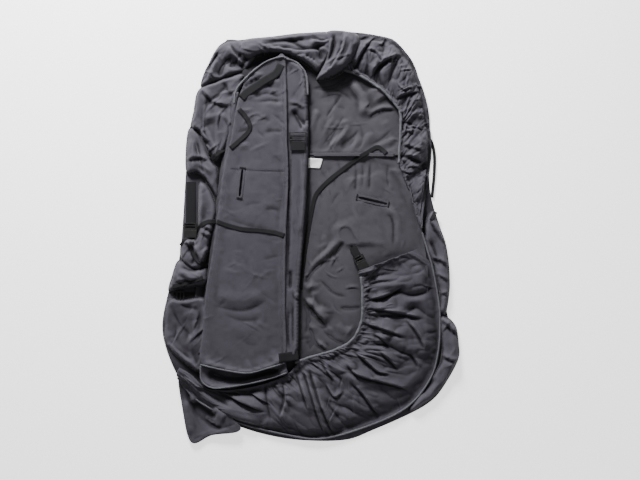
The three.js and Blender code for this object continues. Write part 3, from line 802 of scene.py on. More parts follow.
seatSheet = sheetPiece("seatPanel", seatOutline, panelTop, [
    ("ridge", [(130, 170), (150, 60), (150, -40)], 75, 10, 0.1), ("ridge", [(60, 40), (90, -60)], 50, 5),
    ("lap", [(-25, -159), (-2, -185), (20, -212), (42, -239)], 20, 17),
    ("lap", [(1, -262), (18, -282), (44, -301)], 17, 15),
    ("ridge", [(-24, -146), (-2, -90), (50, -38), (84, -14)], 13, 12),
    ("crease", [(-18, -128), (8, -92), (40, -66)], 9, 9),
    ("ridge", [(-22, -150), (6, -132), (30, -128), (52, -140)], 13, 8),
    ("crease", [(58, -60), (72, -38), (88, -14)], 8, 6),
    ("crease", [(72, -186), (104, -190), (133, -184)], 11, 9),
    ("ridge", [(178, 74), (212, 54), (226, 10), (222, -54)], 13, 6),
    ("crease", [(196, 62), (212, 30), (211, -40)], 6, 4),
    ("crease", [(115, 195), (117, 150), (113, 106)], 5, 3.4),
    ("crease", [(154, 196), (152, 150), (150, 110)], 5, 3.4),
    ("crease", [(200, 190), (197, 150), (203, 112)], 5, 3.4),
    ("crease", [(133, 190), (134, 150), (131, 112)], 4, 2.4),
    ("ridge", [(58, -222), (88, -248), (104, -226)], 19, 10),
    ("crease", [(20, -110), (60, -150), (100, -160)], 16, 6),
    ("crease", [(2, 150), (-3, 60), (-14, -40), (-24, -130)], 13, 8, 0.1),
    ("ridge", [(26, 150), (15, 70), (9, -30)], 16, 7, 0.1),
    ("crease", [(96, -20), (118, -48), (124, -80)], 12, 6),
    ("ridge", [(150, -30), (190, -60), (240, -70)], 20, 6),
    ("crease", [(-10, -226), (6, -262), (-4, -300)], 16, 9),
    ("crease", [(38, -250), (66, -272), (96, -280)], 15, 8),
    ("crease", [(-22, -168), (-6, -210), (-14, -260)], 9, 9),
    ("ridge", [(10, -190), (54, -196), (92, -180)], 18, 7)],
    spacing=6.5, holes=[slotLoop(160, 88, 78, 10, -13)], wrinkle=1.6, stretch=1.035, cap=9,
    floor=shellTop + 0.001, seed=31)

backSheet = sheetPiece("backrestPanel", backrestOutline, panelTop + 0.0012, [
    ("ridge", [(96, 404), (124, 366), (136, 326), (130, 296)], 15, 12),
    ("ridge", [(170, 396), (196, 350)], 36, 11),
    ("lap", [(146, 300), (182, 322), (226, 322)], 18, 9),
    ("crease", [(0, 380), (56, 384), (96, 412)], 44, 13),
    ("ridge", [(4, 226), (34, 262), (60, 306), (74, 340)], 13, 9),
    ("ridge", [(44, 224), (78, 254), (106, 296)], 13, 9),
    ("ridge", [(-12, 250), (10, 296), (22, 340)], 12, 8),
    ("ridge", [(96, 226), (132, 244), (170, 272)], 13, 6),
    ("crease", [(26, 228), (58, 264), (88, 312)], 8, 6),
    ("crease", [(74, 226), (110, 256), (128, 276)], 8, 5),
    ("crease", [(150, 232), (184, 250), (214, 278)], 7, 4),
    ("ridge", [(160, 226), (190, 236), (222, 252)], 9, 4),
    ("crease", [(36, 300), (66, 344), (84, 376)], 14, 6)],
    spacing=6.5, wrinkle=2.0, stretch=1.04, cap=9, floor=shellTop + 0.001, seed=41)

# gathered skirts
skirtUpperOuter = [(84, 516), (120, 521), (160, 520), (200, 510), (234, 490), (268, 442), (290, 368),
    (305, 300),
                   (311, 250), (312, 205), (307, 165), (297, 100), (287, 30)]
skirtUpperInner = [(84, 428), (128, 411), (180, 377), (211, 346), (231, 316), (232, 273), (229, 221),
    (228, 184),
                   (237, 156), (253, 112), (271, 47), (284, 14)]
upperSkirt = stripPiece("upperSkirt", skirtUpperInner, skirtUpperOuter, 46, 300,
    ([0, 0.1, 0.3, 0.65, 0.86, 1], [7, 12, 20, 21, 14, -2]),
    [(6, 2.6, (-0.2, 0.0), (0.08, 0.42), 4, 101), (15, 4.2, (0.0, 0.16), (0.35, 0.85), 8, 102),
     (36, 7.0, (0.12, 0.4), (0.75, 1.1), 14, 103), (9, 1.6, (0.3, 0.6), (0.9, 1.0), 6, 104)],
    panelTop, stretch=1.05, creases=[
    ("lap", [(88, 434), (100, 470), (114, 506)], 14, 9),
    ("lap", [(110, 422), (128, 460), (152, 500)], 14, 9),
    ("lap", [(159, 406), (178, 438), (231, 464)], 17, 13), ("lap", [(182, 488), (198, 512)], 10, 7),
    ("lap", [(218, 350), (250, 362), (287, 371)], 13, 9),
    ("ridge", [(240, 302), (272, 312), (305, 320)], 8, 7),
    ("crease", [(236, 302), (250, 288), (262, 292)], 8, 9),
    ("lap", [(237, 234), (262, 224), (290, 212)], 12, 7),
    ("lap", [(236, 206), (262, 197), (294, 184)], 12, 8), ("crease", [(286, 184), (300, 168)], 9, 12),
    ("lap", [(240, 252), (250, 266), (264, 260)], 8, 6),
    ("lap", [(140, 480), (170, 470), (190, 440)], 10, 6),
    ("ridge", [(280, 290), (292, 240), (290, 200)], 16, 6)])

skirtLowerInner = [(120, -94), (131, -130), (133, -169), (130, -221), (107, -268), (63, -294), (19, -307),
    (-24, -320),
                   (-60, -356), (-120, -380), (-200, -396), (-262, -392), (-304, -356), (-334, -338)]
skirtLowerOuter = [(276, -36), (310, -80), (328, -169), (333, -225), (330, -300), (308, -368), (246, -440),
    (142, -490),
                   (24, -521), (-80, -508), (-184, -480), (-250, -447), (-290, -422), (-341, -362)]
lowerSkirt = stripPiece("lowerSkirt", skirtLowerInner, skirtLowerOuter, 64, 420,
    ([0, 0.07, 0.22, 0.55, 0.82, 1], [7, 13, 21, 24, 17, 0]),
    [(6, 3.0, (-0.2, 0.0), (0.06, 0.3), 4, 201), (14, 4.6, (0.0, 0.1), (0.22, 0.7), 8, 202),
     (38, 7.5, (0.1, 0.3), (0.7, 1.1), 16, 203), (11, 1.5, (0.4, 0.6), (0.9, 1.0), 6, 204)],
    panelTop, stretch=1.05, calm=(-150, -40), creases=[
    ("lap", [(143, -169), (192, -159), (237, -133)], 12, 10),
    ("lap", [(143, -187), (231, -203), (289, -216)], 12, 10),
    ("lap", [(135, -226), (190, -244), (244, -263)], 11, 8),
    ("lap", [(159, -252), (182, -268), (205, -289)], 9, 7),
    ("lap", [(107, -294), (146, -330), (172, -351), (205, -356)], 12, 9),
    ("lap", [(172, -294), (198, -318), (224, -346)], 11, 8),
    ("lap", [(88, -320), (114, -356), (180, -376), (231, -390), (257, -403)], 13, 10),
    ("lap", [(101, -372), (134, -410), (159, -445), (179, -463)], 12, 7),
    ("lap", [(29, -325), (44, -352), (62, -377)], 9, 7),
    ("lap", [(-3, -338), (12, -390), (29, -442), (57, -507)], 12, 10),
    ("lap", [(-21, -338), (0, -400), (18, -460), (36, -512)], 10, 10),
    ("lap", [(-36, -351), (-20, -400), (-3, -455)], 10, 8),
    ("lap", [(244, -216), (272, -254), (296, -299)], 12, 7),
    ("lap", [(252, -299), (266, -320), (278, -341)], 10, 6),
    ("lap", [(36, -377), (60, -415), (88, -395)], 12, 6),
    ("crease", [(-119, -377), (-110, -430), (-100, -480)], 14, 9),
    ("crease", [(-290, -388), (-240, -420), (-200, -440)], 15, 10),
    ("ridge", [(-320, -350), (-270, -386), (-200, -410)], 12, 8),
    ("lap", [(-70, -372), (-66, -420), (-80, -470)], 12, 6),
    ("lap", [(-300, -384), (-240, -398), (-170, -430), (-110, -452)], 20, 12),
    ("crease", [(-258, -396), (-190, -406), (-120, -396)], 18, 14),
    ("lap", [(-230, -388), (-160, -404), (-96, -436)], 15, 9),
    ("ridge", [(-250, -440), (-190, -462), (-120, -478)], 12, 6),
    ("ridge", [(120, -100), (190, -78), (262, -50)], 10, 7)])

# folds round the edge
edgeFolds = {
    "crownFold": dict(outline=[(-176, 506), (-106, 516), (-28, 525), (40, 529), (72, 522), (64, 481),
        (42, 448), (20, 416),
                               (-8, 436), (-40, 456), (-80, 466), (-130, 464), (-160, 452), (-186, 470)],
                               level=0.020, crown=13,
        folds=[("lap", [(60, 500), (10, 476), (-60, 480), (-120, 492)], 12, 7),
            ("crease", [(-150, 486), (-80, 500), (20, 506)], 8, 5),
               ("lap", [(30, 430), (-6, 456), (-50, 466), (-100, 472)], 7, 7),
               ("lap", [(62, 512), (30, 500), (-4, 510)], 8, 6),
               ("crease", [(-60, 512), (-30, 488), (-10, 470)], 6, 6),
               ("crease", [(10, 492), (24, 470), (26, 444)], 7, 8),
               ("lap", [(-140, 498), (-120, 480), (-90, 470)], 8, 6),
               ("ridge", [(-96, 470), (-50, 470), (0, 452)], 4, 3)],
        nodes=["crown_fold"]),
    "crownTuck": dict(outline=[(40, 528), (84, 530), (124, 520), (128, 484), (104, 440), (74, 414),
        (38, 398), (14, 400),
                               (22, 424), (34, 450), (40, 486)], level=0.028, crown=14,
        folds=[("lap", [(88, 522), (74, 470), (50, 430), (22, 406)], 9, 8),
            ("crease", [(62, 520), (56, 470), (36, 436)], 7, 9),
               ("ridge", [(112, 508), (92, 458), (60, 420)], 9, 5),
               ("crease", [(104, 500), (88, 462), (64, 432)], 5, 3),
               ("lap", [(48, 510), (44, 480), (38, 452)], 7, 8)], nodes=["crown_tuck"]),
    "cornerPleat": dict(outline=[(-286, 384), (-266, 442), (-234, 497), (-186, 507), (-140, 510),
        (-124, 488), (-140, 458),
                                 (-172, 424), (-206, 412), (-250, 394)], level=0.014, crown=10,
        folds=[("lap", [(-284, 388), (-256, 446), (-226, 492)], 10, 9),
            ("lap", [(-168, 440), (-196, 470), (-214, 496)], 10, 9),
               ("crease", [(-240, 404), (-224, 440), (-200, 462)], 14, 12),
               ("ridge", [(-266, 404), (-240, 456)], 7, 6),
               ("crease", [(-180, 426), (-170, 452), (-150, 470)], 10, 9),
               ("lap", [(-130, 484), (-160, 486), (-186, 500)], 9, 6),
               ("crease", [(-216, 430), (-196, 446), (-176, 474)], 12, 8)],
        nodes=["corner_pleat"]),
    "pouchFold": dict(outline=[(-292, 376), (-249, 398), (-212, 410), (-176, 418), (-176, 380), (-196, 340),
        (-198, 286),
                               (-212, 234), (-246, 186), (-275, 240), (-292, 266), (-312, 276),
                               (-304, 320)],
        level=0.018, crown=8,
        folds=[("lap", [(-222, 306), (-204, 268), (-212, 220), (-244, 188)], 12, 9),
            ("lap", [(-244, 186), (-262, 226), (-282, 280)], 12, 9),
               ("ridge", [(-278, 296), (-240, 306), (-206, 300)], 10, 5),
               ("lap", [(-288, 380), (-250, 340), (-204, 330)], 14, 6),
               ("crease", [(-286, 330), (-250, 352), (-210, 392)], 9, 5),
               ("crease", [(-230, 400), (-214, 372), (-200, 350)], 9, 6)],
        nodes=["pouch_fold"]),
    "sidePleatUpper": dict(outline=[(-318, 270), (-288, 262), (-258, 196), (-238, 164), (-236, 80),
        (-262, 126), (-290, 158),
                                    (-322, 164)], level=0.013, crown=8,
        folds=[("lap", [(-300, 168), (-268, 136), (-244, 90)], 8, 8),
            ("lap", [(-320, 190), (-288, 196), (-262, 188)], 10, 6),
               ("crease", [(-296, 250), (-284, 200), (-276, 150)], 9, 6),
               ("ridge", [(-308, 250), (-300, 190)], 9, 5)],
        nodes=["side_pleat_upper"]),
    "sidePleatMiddle": dict(outline=[(-290, 124), (-278, 136), (-258, 116), (-240, 66), (-246, 26),
        (-258, -26), (-272, -74),
                                     (-292, -92), (-330, -72), (-336, -30), (-322, -8), (-292, 0)],
                                     level=0.0165, crown=8,
        folds=[("ridge", [(-284, 128), (-282, 60), (-282, 10)], 7, 7),
            ("lap", [(-276, 20), (-250, 4), (-246, -20)], 9, 7),
               ("lap", [(-286, 6), (-262, -6), (-250, -2)], 7, 6),
               ("ridge", [(-272, -34), (-256, -60)], 14, 8),
               ("lap", [(-330, -20), (-300, -34), (-280, -80)], 12, 9),
               ("crease", [(-316, -24), (-300, -60), (-308, -86)], 9, 8)],
        nodes=["side_pleat_middle"]),
    "sidePleatLower": dict(outline=[(-338, -64), (-292, -86), (-266, -84), (-264, -128), (-300, -134),
        (-340, -140),
                                    (-366, -146), (-356, -104)], level=0.013, crown=8,
        folds=[("ridge", [(-344, -92), (-306, -104), (-272, -100)], 13, 8),
            ("lap", [(-350, -122), (-310, -118), (-270, -116)], 8, 5),
               ("crease", [(-334, -80), (-310, -90), (-286, -92)], 8, 6)], nodes=["side_pleat_lower"]),
    "sidePanel": dict(outline=[(-366, -166), (-330, -166), (-266, -164), (-264, -247), (-268, -330),
        (-286, -352), (-334, -320),
                               (-368, -284), (-379, -240)], level=0.0135, crown=3.5,
        folds=[("ridge", [(-364, -276), (-332, -308), (-286, -342)], 5, 4, 0.1),
            ("crease", [(-356, -190), (-330, -236), (-296, -262)], 22, 4),
               ("ridge", [(-300, -176), (-292, -250), (-298, -310)], 16, 4),
               ("crease", [(-340, -176), (-316, -186), (-284, -190)], 8, 4),
               ("crease", [(-370, -262), (-340, -292), (-300, -320)], 9, 3)], nodes=["side_panel"]),
    "gussetUpper": dict(outline=[(290, 4), (300, 50), (318, 62), (330, 30), (346, -26), (356, -95),
        (357, -143), (346, -204),
                                 (330, -196), (330, -156), (314, -84), (298, -36)], level=0.013, crown=9,
        folds=[("lap", [(300, 40), (322, 10), (344, -30)], 9, 8),
            ("lap", [(310, -60), (334, -70), (354, -86)], 9, 8),
               ("lap", [(318, -100), (338, -112), (356, -118)], 8, 7),
               ("lap", [(326, -150), (342, -152), (357, -150)], 8, 7),
               ("crease", [(300, -10), (318, -40), (328, -90)], 8, 6),
               ("ridge", [(322, 40), (340, -20), (350, -90)], 8, 5)],
        nodes=["side_gusset_upper"]),
    "gussetLower": dict(outline=[(330, -216), (352, -212), (372, -234), (379, -275), (378, -318),
        (340, -386), (288, -434),
                                 (250, -446), (318, -350), (334, -300)], level=0.012, crown=9,
        folds=[("lap", [(330, -214), (356, -240), (378, -262)], 12, 8),
            ("lap", [(326, -306), (350, -318), (378, -326)], 11, 8),
               ("crease", [(280, -410), (304, -384), (318, -362)], 9, 8),
               ("ridge", [(356, -250), (366, -300), (350, -350)], 12, 5)],
        nodes=["side_gusset_lower"]),
}
foldObjects = {}
for number, (name, facts) in enumerate(edgeFolds.items()):
    foldObjects[name] = sheetPiece(name, facts["outline"], facts["level"], facts["folds"], spacing=5.5,
        crown=facts["crown"],
        edgeDrop=facts["level"] / mm - 5, edgeWidth=9, wrinkle=1.5, stretch=1.05, seed=70 + 3 * number,
        cap=8,
        floor=shellTop + 0.001, ceiling=0.046)

# the folded-over flap
foldedPly = sheetPiece("foldedPlies", [
    (-72, 436), (-40, 420), (-26, 325), (-26, 221), (-32, 91), (-38, -13), (-46, -143), (-46, -280),
    (-66, -310), (-158, -322), (-240, -322), (-262, -300), (-262, -247), (-254, -143), (-240, -65),
    (-226, 26), (-208, 169),
    (-190, 247), (-178, 325), (-136, 430)], flapFloor - 0.0020, [
    ("ridge", [(-250, -300), (-220, -60), (-190, 150)], 20, 3)], spacing=11, wrinkle=0.5, edgeDrop=7,
    edgeWidth=16, stretch=1.0,
    floor=panelTop + 0.002, ceiling=flapFloor - 0.0004, seed=91)

flapUnder = sheetPiece("flapUnderLayer", flapUnderOutline, flapFloor + 0.0021, [
    ("crease", [(-270, -346), (-215, -366), (-160, -364), (-110, -350), (-72, -340)], 13, 13, 0.12),
    ("ridge", [(-278, -366), (-246, -387), (-210, -387), (-158, -378), (-100, -364), (-62, -350)], 3.4, 6,
        0.1),
    ("ridge", [(-80, -352), (-66, -346), (-60, -352)], 6, 6)],
    spacing=6.5, wrinkle=0.6, stretch=1.0, floor=panelTop + 0.0025, ceiling=flapTop - 0.002, seed=94)

flapSheet = sheetPiece("flapTopLayer", flapTopOutline, flapTop + 0.0012, [
    ("ridge", [(-112, 380), (-120, 150), (-160, -60), (-170, -300)], 70, 4, 0.1),
    ("crease", [(-152, 352), (-112, 364), (-74, 352)], 6, 3.5),
    ("crease", [(-142, 338), (-102, 346), (-70, 337)], 6, 3),
    ("crease", [(-122, 262), (-96, 267), (-66, 262)], 5, 2),
    ("ridge", [(-140, 392), (-100, 398), (-70, 386)], 9, 4),
    ("crease", [(-262, -178), (-171, -193), (-101, -162)], 12, 3),
    ("crease", [(-226, -200), (-176, -218), (-122, -214)], 10, 2.4),
    ("ridge", [(-250, -150), (-180, -162), (-110, -148)], 14, 2.4),
    ("lap", [(-176, 372), (-150, 396), (-116, 410)], 10, 5),
    ("ridge", [(-276, -322), (-210, -341), (-158, -348), (-112, -336), (-72, -322)], 6, 7, 0.1),
    ("crease", [(-210, 40), (-150, 20), (-90, 12)], 10, 1.5),
    ("crease", [(-120, 60), (-100, 66), (-72, 60)], 5, 1.6),
    ("ridge", [(-90, -330), (-76, -316), (-66, -326)], 10, 6)],
    spacing=7, holes=[slotLoop(-178, 132, 72, 8, 84)], wrinkle=0.9, edgeDrop=1.0, edgeWidth=4, stretch=1.02,
    cap=5,
    floor=flapFloor + 0.0045, seed=97)

boxingSheet = sheetPiece("boxingStrip", boxingOutline, flapTop - 0.0014, [
    ("crease", [(-58, 190), (-56, 0), (-59, -120)], 3, 3, 0.1),
    ("lap", [(-60, 338), (-36, 334), (-8, 318)], 9, 4), ("crease", [(-50, 322), (-30, 300), (-10, 276)], 13,
        9),
    ("lap", [(-44, 310), (-28, 288), (-16, 262)], 6, 6),
    ("crease", [(-52, -88), (-51, -116), (-53, -143)], 4, 6),
    ("lap", [(-34, -142), (-40, -156), (-30, -170)], 8, 7),
    ("crease", [(-44, -170), (-46, -230), (-44, -290)], 4, 3.5),
    ("crease", [(-56, -180), (-57, -240), (-54, -300)], 3, 3),
    ("ridge", [(-20, 200), (-18, 100), (-26, 0)], 6, 3, 0.1), ("ridge", [(-50, -200), (-50, -290)], 4, 3)],
    spacing=5.5, wrinkle=0.6, edgeDrop=9, edgeWidth=6, stretch=1.02, cap=4, floor=panelTop + 0.004, seed=99)
print("cover: sheets cut,", len(waiting))

settleAll()
print("cover: sheets settled")


# after settling: finer mesh, narrow seams, canvas thickness
def seamed(points, width=2.6, height=1.2):
    return ("crease", points, width, height, 0.02)


finishCloth(shell, 1.6, subdivide=0, rooms=[((-309, -20), (-309, 160), 18, 3.1),
    ((-352, -158), (-296, -158), 16, 3.1)])
finishCloth(tail, 1.4, [seamed([(-330, -398), (-303, -520)]), seamed([(-298, -520), (-192, -480)])])
finishCloth(seatSheet, 1.5, rooms=[((146, -103), (90, 2), 17, 7.2), ((134, -84), (112, -40), 18, 7.2)],
    small=[*strewn(((-20, -380), (130, -60)), 34, 11, 30, 50, (20, 60), (0.8, 2.4)),
    *strewn(((20, -60), (250, 190)), 40, 12, 60, 60, (20, 60), (0.4, 1.3))],
    fine=[seamed([(-30, 199), (60, 203), (140, 203), (214, 200)], 2.4, 1.4),
    seamed([(118, 97), (160, 88), (202, 78)], 5, 1.6), seamed([(-250, 186), (-160, 195), (-60, 199)], 2.4,
        1.2)])
finishCloth(backSheet, 1.5, small=strewn(((-10, 215), (235, 400)), 34, 13, 45, 40, (26, 90), (0.7, 2.2),
    (4, 9)), fine=[seamed([(-30, 212), (60, 212), (140, 212), (214, 211)], 2.4, 1.4)])
finishCloth(upperSkirt, 1.3, grain=0.15, small=[*strewn(((236, 150), (306, 400)), 60, 4, 10, 35, (16, 50),
    (1.5, 4)),
    *strewn(((90, 420), (260, 515)), 34, 5, 50, 35, (20, 60), (1.5, 4))])
finishCloth(lowerSkirt, 1.3, grain=0.15, small=[*strewn(((140, -440), (320, -60)), 34, 6, -30, 30, (30, 90),
    (0.6, 1.9)),
    *strewn(((-120, -505), (140, -350)), 30, 7, -75, 22, (30, 90), (0.7, 2.2)),
    *strewn(((-300, -450), (-120, -380)), 8, 8, -25, 14, (50, 110), (0.8, 2))])
for number, (name, obj) in enumerate(foldObjects.items()):
    corners = np.array(edgeFolds[name]["outline"])
    reach = corners.max(0) - corners.min(0)
    count = int(reach[0] * reach[1] / 900)
    lean = math.degrees(math.atan2(reach[1], reach[0])) * (1 if number % 2 else -1)
    under = [((-256, -150), (-262, -345), 17, 16.4)] if name == "sidePanel" else []
    finishCloth(obj, 1.4, grain=0.3, rooms=under, small=strewn((corners.min(0), corners.max(0)), count,
        40 + number, lean, 22, (40, 110),
                                                  (1.2, 3.2), (4, 9)))
finishCloth(foldedPly, 3.0, subdivide=0)
finishCloth(flapUnder, 1.5)
finishCloth(flapSheet, 1.5, small=[*strewn(((-270, -330), (-80, 160)), 40, 14, 5, 25, (30, 90), (0.3, 1.1)),
    *strewn(((-190, 170), (-70, 430)), 30, 15, 5, 30, (25, 80), (0.6, 2.0))], fine=[
    seamed([(-72, 440), (-67, 247), (-64, 143), (-71, 0), (-72, -169), (-71, -322)], 2.0, 1.0),
    seamed([(-62, 440), (-58, 247), (-55, 143), (-61, 0), (-63, -169), (-62, -322)], 2.0, 1.0),
    seamed([(-206, 168), (-140, 163), (-64, 161)], 2.2, 1.3),
    seamed([(-181, 96), (-178, 132), (-174, 168)], 4, 1.4)])
finishCloth(boxingSheet, 1.4, small=[*strewn(((-60, -140), (-10, 220)), 9, 16, 88, 8, (40, 110), (0.4, 1.1),
    (3, 5)),
    *strewn(((-60, 270), (-10, 440)), 7, 17, 70, 20, (25, 60), (0.8, 2))],
    fine=[seamed([(-18, 212), (-22, 91), (-29, -13), (-39, -143)], 2.0, 1.0),
    seamed([(-50, 195), (-50, 60), (-55, -39)], 2.0, 1.2)])
print("cover: cloth finished")

sheetsOnCover = [shell, tail, seatSheet, backSheet, upperSkirt, lowerSkirt, *foldObjects.values()]
sheetsOnFlap = [flapUnder, flapSheet, boxingSheet]
measureHeights([*sheetsOnCover, *sheetsOnFlap])

dress(shell, canvasMaterial, "cover", ["outer_shell"])
dress(tail, canvasMaterial, "cover", ["hem_tail"])
dress(seatSheet, innerMaterial, "cover",
    ["seat_front_panel", "seat_rear_panel", "seat_seam_left",
      "seat_seam_right"])
dress(backSheet, innerMaterial, "cover", ["backrest_panel"])
dress(upperSkirt, canvasMaterial, "cover", ["skirt_upper"])
dress(lowerSkirt, canvasMaterial, "cover", ["skirt_lower"])
for name, facts in edgeFolds.items():
    dress(foldObjects[name], canvasMaterial, "cover", facts["nodes"])
dress(foldedPly, canvasMaterial, "cover", ["folded_ply_lower", "folded_ply_upper"])
dress(flapUnder, canvasMaterial, "flap", ["flap_under_layer"])
dress(flapSheet, canvasMaterial, "flap", ["flap_top_panel", "flap_main_panel", "flap_side_panel",
      "flap_slot_stay"])
dress(boxingSheet, canvasMaterial, "flap", ["boxing_strip"])


def follow(points, sheets, spacing=4.0, lift0=1.0, soften=5, closed=False):
    # a line on the cutting pattern, laid over the sheets
    plan = smooth(spots(points), spacing * mm, closed=closed)
    line = onto(np.column_stack([plan, np.zeros(len(plan))]), sheets, lift0 * mm)
    # a point past the cloth's edge takes the height of its neighbours
    missed = line[:, 2] < (lift0 + 0.01) * mm
    if missed.any() and not missed.all():
        order = np.arange(len(line))
        line[missed, 2] = np.interp(order[missed], order[~missed], line[~missed, 2])
    z = line[:, 2].copy()
    for _ in range(soften):
        padded = np.concatenate([z[:1], z, z[-1:]])
        z = np.maximum(line[:, 2] * 0.6 + 0.4 * z, (padded[:-2] + padded[1:-1] + padded[2:]) / 3)
    line[:, 2] = z
    return line


# hems with the elastic cord run into them
def hemPiece(name, points, radius, nodes):
    line = follow(points, [seatSheet, backSheet], 3.0, 2.0)
    level = 0.0125
    line[:, 2] = np.maximum(level, line[:, 2] + radius * 0.5)
    obj = tubeMesh(name, line, radius, sides=12, roughen=0.28, seed=len(name))
    keepFlat(obj, positions(obj)[:, :2])
    p = positions(obj)
    p[:, 2] += 0.5 * mm * noise(p[:, 0], p[:, 1], 0.005, 19)
    setPositions(obj, p)
    return dress(obj, bindingMaterial, "cover", nodes, crest=False)


hemLowerPiece = hemPiece("hemLowerCasing", [*hemLower, (-40, -326)], 0.0036,
    ["hem_lower_casing", "hem_lower_elastic"])
hemUpperPiece = hemPiece("hemUpperCasing", hemUpper, 0.0036, ["hem_upper_casing", "hem_upper_elastic"])

pipingPoints = [(287, 6), (300, -40), (314, -90), (328, -169), (331, -221), (326, -300), (304, -370),
    (244, -440),
                (141, -489), (24, -519), (-80, -505), (-184, -478), (-249, -446), (-290, -421),
                (-316, -396), (-340, -364)]
pipingLine = smooth(spots(pipingPoints), 0.003)
pipingLine = np.column_stack([pipingLine, np.full(len(pipingLine), 0.0094)])
pipingLine[:, 2] += 1.2 * mm * noise(pipingLine[:, 0], pipingLine[:, 1], 0.05, 77)
piping = tubeMesh("seamPiping", pipingLine, 0.0023, sides=10, roughen=0.1)
keepFlat(piping, positions(piping)[:, :2])
dress(piping, bindingMaterial, "cover", ["seam_piping"], crest=False)
print("cover: hems and piping made")


# slot welts and their bar tacks
def weltPiece(name, x, y, length, width, degrees, sheets, body, nodes):
    loop = slotLoop(x, y, length + 3, width + 4, degrees)
    line = follow([*loop, loop[0]], sheets, 2.0, 0.6, soften=2)
    top = np.median(line[:, 2])
    line[:, 2] = np.clip(line[:, 2], top - 1.5 * mm, top + 1.5 * mm)
    obj = tapeMesh(name, line, 5.0 * mm, 1.3 * mm)
    return dress(obj, innerMaterial if body == "cover" else canvasMaterial,
                 body, nodes, crest=False)


# thin rolled hems along the flap's open edges: points, the sheets they lie on, radius, lift in mm
rolledHems = {
    "archHem": {
        "points": [(-196, 335), (-190, 372), (-160, 408), (-130, 434), (-104, 449), (-72, 457), (-64, 452)],
        "sheets": [flapUnder, flapSheet], "radius": 0.0026, "lift": 1.6},
    "stripHem": {
        "points": [(-62, 452), (-40, 446), (-24, 432), (-11, 408), (-7, 360)],
        "sheets": [boxingSheet], "radius": 0.0026, "lift": 1.6},
    "flapEndHem": {
        "points": [(-279, -330), (-240, -339), (-210, -345), (-158, -351), (-110, -339), (-66, -326)],
        "sheets": [flapSheet], "radius": 0.0019, "lift": 0.6},
    "flapLipHem": {
        "points": [(-280, -334), (-276, -372), (-249, -389), (-210, -387), (-158, -379), (-100, -365),
            (-60, -351)],
        "sheets": [flapUnder], "radius": 0.0019, "lift": 0.6}}
for name, facts in rolledHems.items():
    line = follow(facts["points"], facts["sheets"], 3.0, facts["lift"])
    obj = tubeMesh(name, line, facts["radius"], sides=10, roughen=0.25)
    keepFlat(obj, positions(obj)[:, :2])
    dress(obj, bindingMaterial, "flap", crest=False)
weltPiece("seatSlotWelt", 160, 88, 78, 7.5, -13, [seatSheet], "cover", ["seat_slot_welt"])
weltPiece("flapSlotWelt", -178, 132, 72, 6.5, 84, [flapSheet], "flap", ["flap_slot_welt"])


# bar tacks at both ends of each slot
def barTack(name, x, y, length, degrees, end, sheets, body):
    turn = math.radians(degrees)
    c, s = math.cos(turn), math.sin(turn)
    u = end * length / 2
    line = follow([(x + u * c - v * s, y + u * s + v * c) for v in (-7.5, 0, 7.5)], sheets, 1.5, 1.5,
        soften=1)
    return dress(tapeMesh(name, line, 3.4 * mm, 1.2 * mm), tapeMaterial, body, crest=False)


for end in (-1, 1):
    tag = "Left" if end < 0 else "Right"
    barTack("seatTack" + tag, 160, 88, 84, -13, end, [seatSheet], "cover")
    barTack("flapTack" + tag, -178, 132, 78, 84, end, [flapSheet], "flap")


# rows of stitching, each stitch a short raised thread
stitchRows = {"cover": [], "flap": []}


def beside(points, offset, spacing=2.0):
    # a line run alongside another, offset to its left in mm
    line = smooth(spots(points), spacing * mm)
    along = np.gradient(line, axis=0)
    along /= np.linalg.norm(along, axis=1)[:, None] + 1e-12
    moved = line + np.column_stack([-along[:, 1], along[:, 0]]) * offset * mm
    return [(x / scaleX, y / scaleY) for x, y in moved[::4]]


def sew(body, points, sheets, pitch=3.4, length=2.3, radius=0.42):
    plan = smooth(spots(points), pitch * mm)
    line = onto(np.column_stack([plan, np.zeros(len(plan))]), sheets, 0.15 * mm)
    along = np.gradient(line, axis=0)
    along /= np.linalg.norm(along, axis=1)[:, None] + 1e-12
    across = np.cross(along, [0, 0, 1.0])
    across /= np.linalg.norm(across, axis=1)[:, None] + 1e-12
    up = np.cross(across, along)
    rings = []
    for part, swell in ((-0.5, 0.35), (-0.25, 0.95), (0.25, 0.95), (0.5, 0.35)):
        middle = line + along * (part * length * mm) - up * ((1 - swell) * 0.5 * mm)
        for c, s in ((1, 0), (0, 1), (-1, 0), (0, -1)):
            rings.append(middle + (across * c + up * s) * radius * swell * mm)
    onCloth = line[:, 2] > 1.0 * mm
    stitchRows[body].append(np.stack(rings, 1)[onCloth])


def stitchPiece(name, body):
    rows = np.concatenate(stitchRows[body])
    count = len(rows)
    faces = []
    for i in range(count):
        k = i * 16
        for ring in range(3):
            for side in range(4):
                a, b = k + ring * 4 + side, k + ring * 4 + (side + 1) % 4
                faces.append((a, b, b + 4, a + 4))
        faces.append((k + 3, k + 2, k + 1, k))
        faces.append((k + 12, k + 13, k + 14, k + 15))
    obj = newObject(name, rows.reshape(-1, 3), faces)
    keepFlat(obj, positions(obj)[:, :2])
    return dress(obj, threadMaterial, body, crest=False)


def frameOf(x, y, length, width, degrees):
    turn = math.radians(degrees)
    c, s = math.cos(turn), math.sin(turn)
    half, wide = length / 2, width / 2
    corners = [(-half, -wide), (half, -wide), (half, wide), (-half, wide), (-half, -wide)]
    return [(x + u * c - v * s, y + u * s + v * c) for u, v in corners]


def sewFrame(body, frameCorners, sheets):
    for a, b in zip(frameCorners, frameCorners[1:]):
        sew(body, [a, b], sheets)


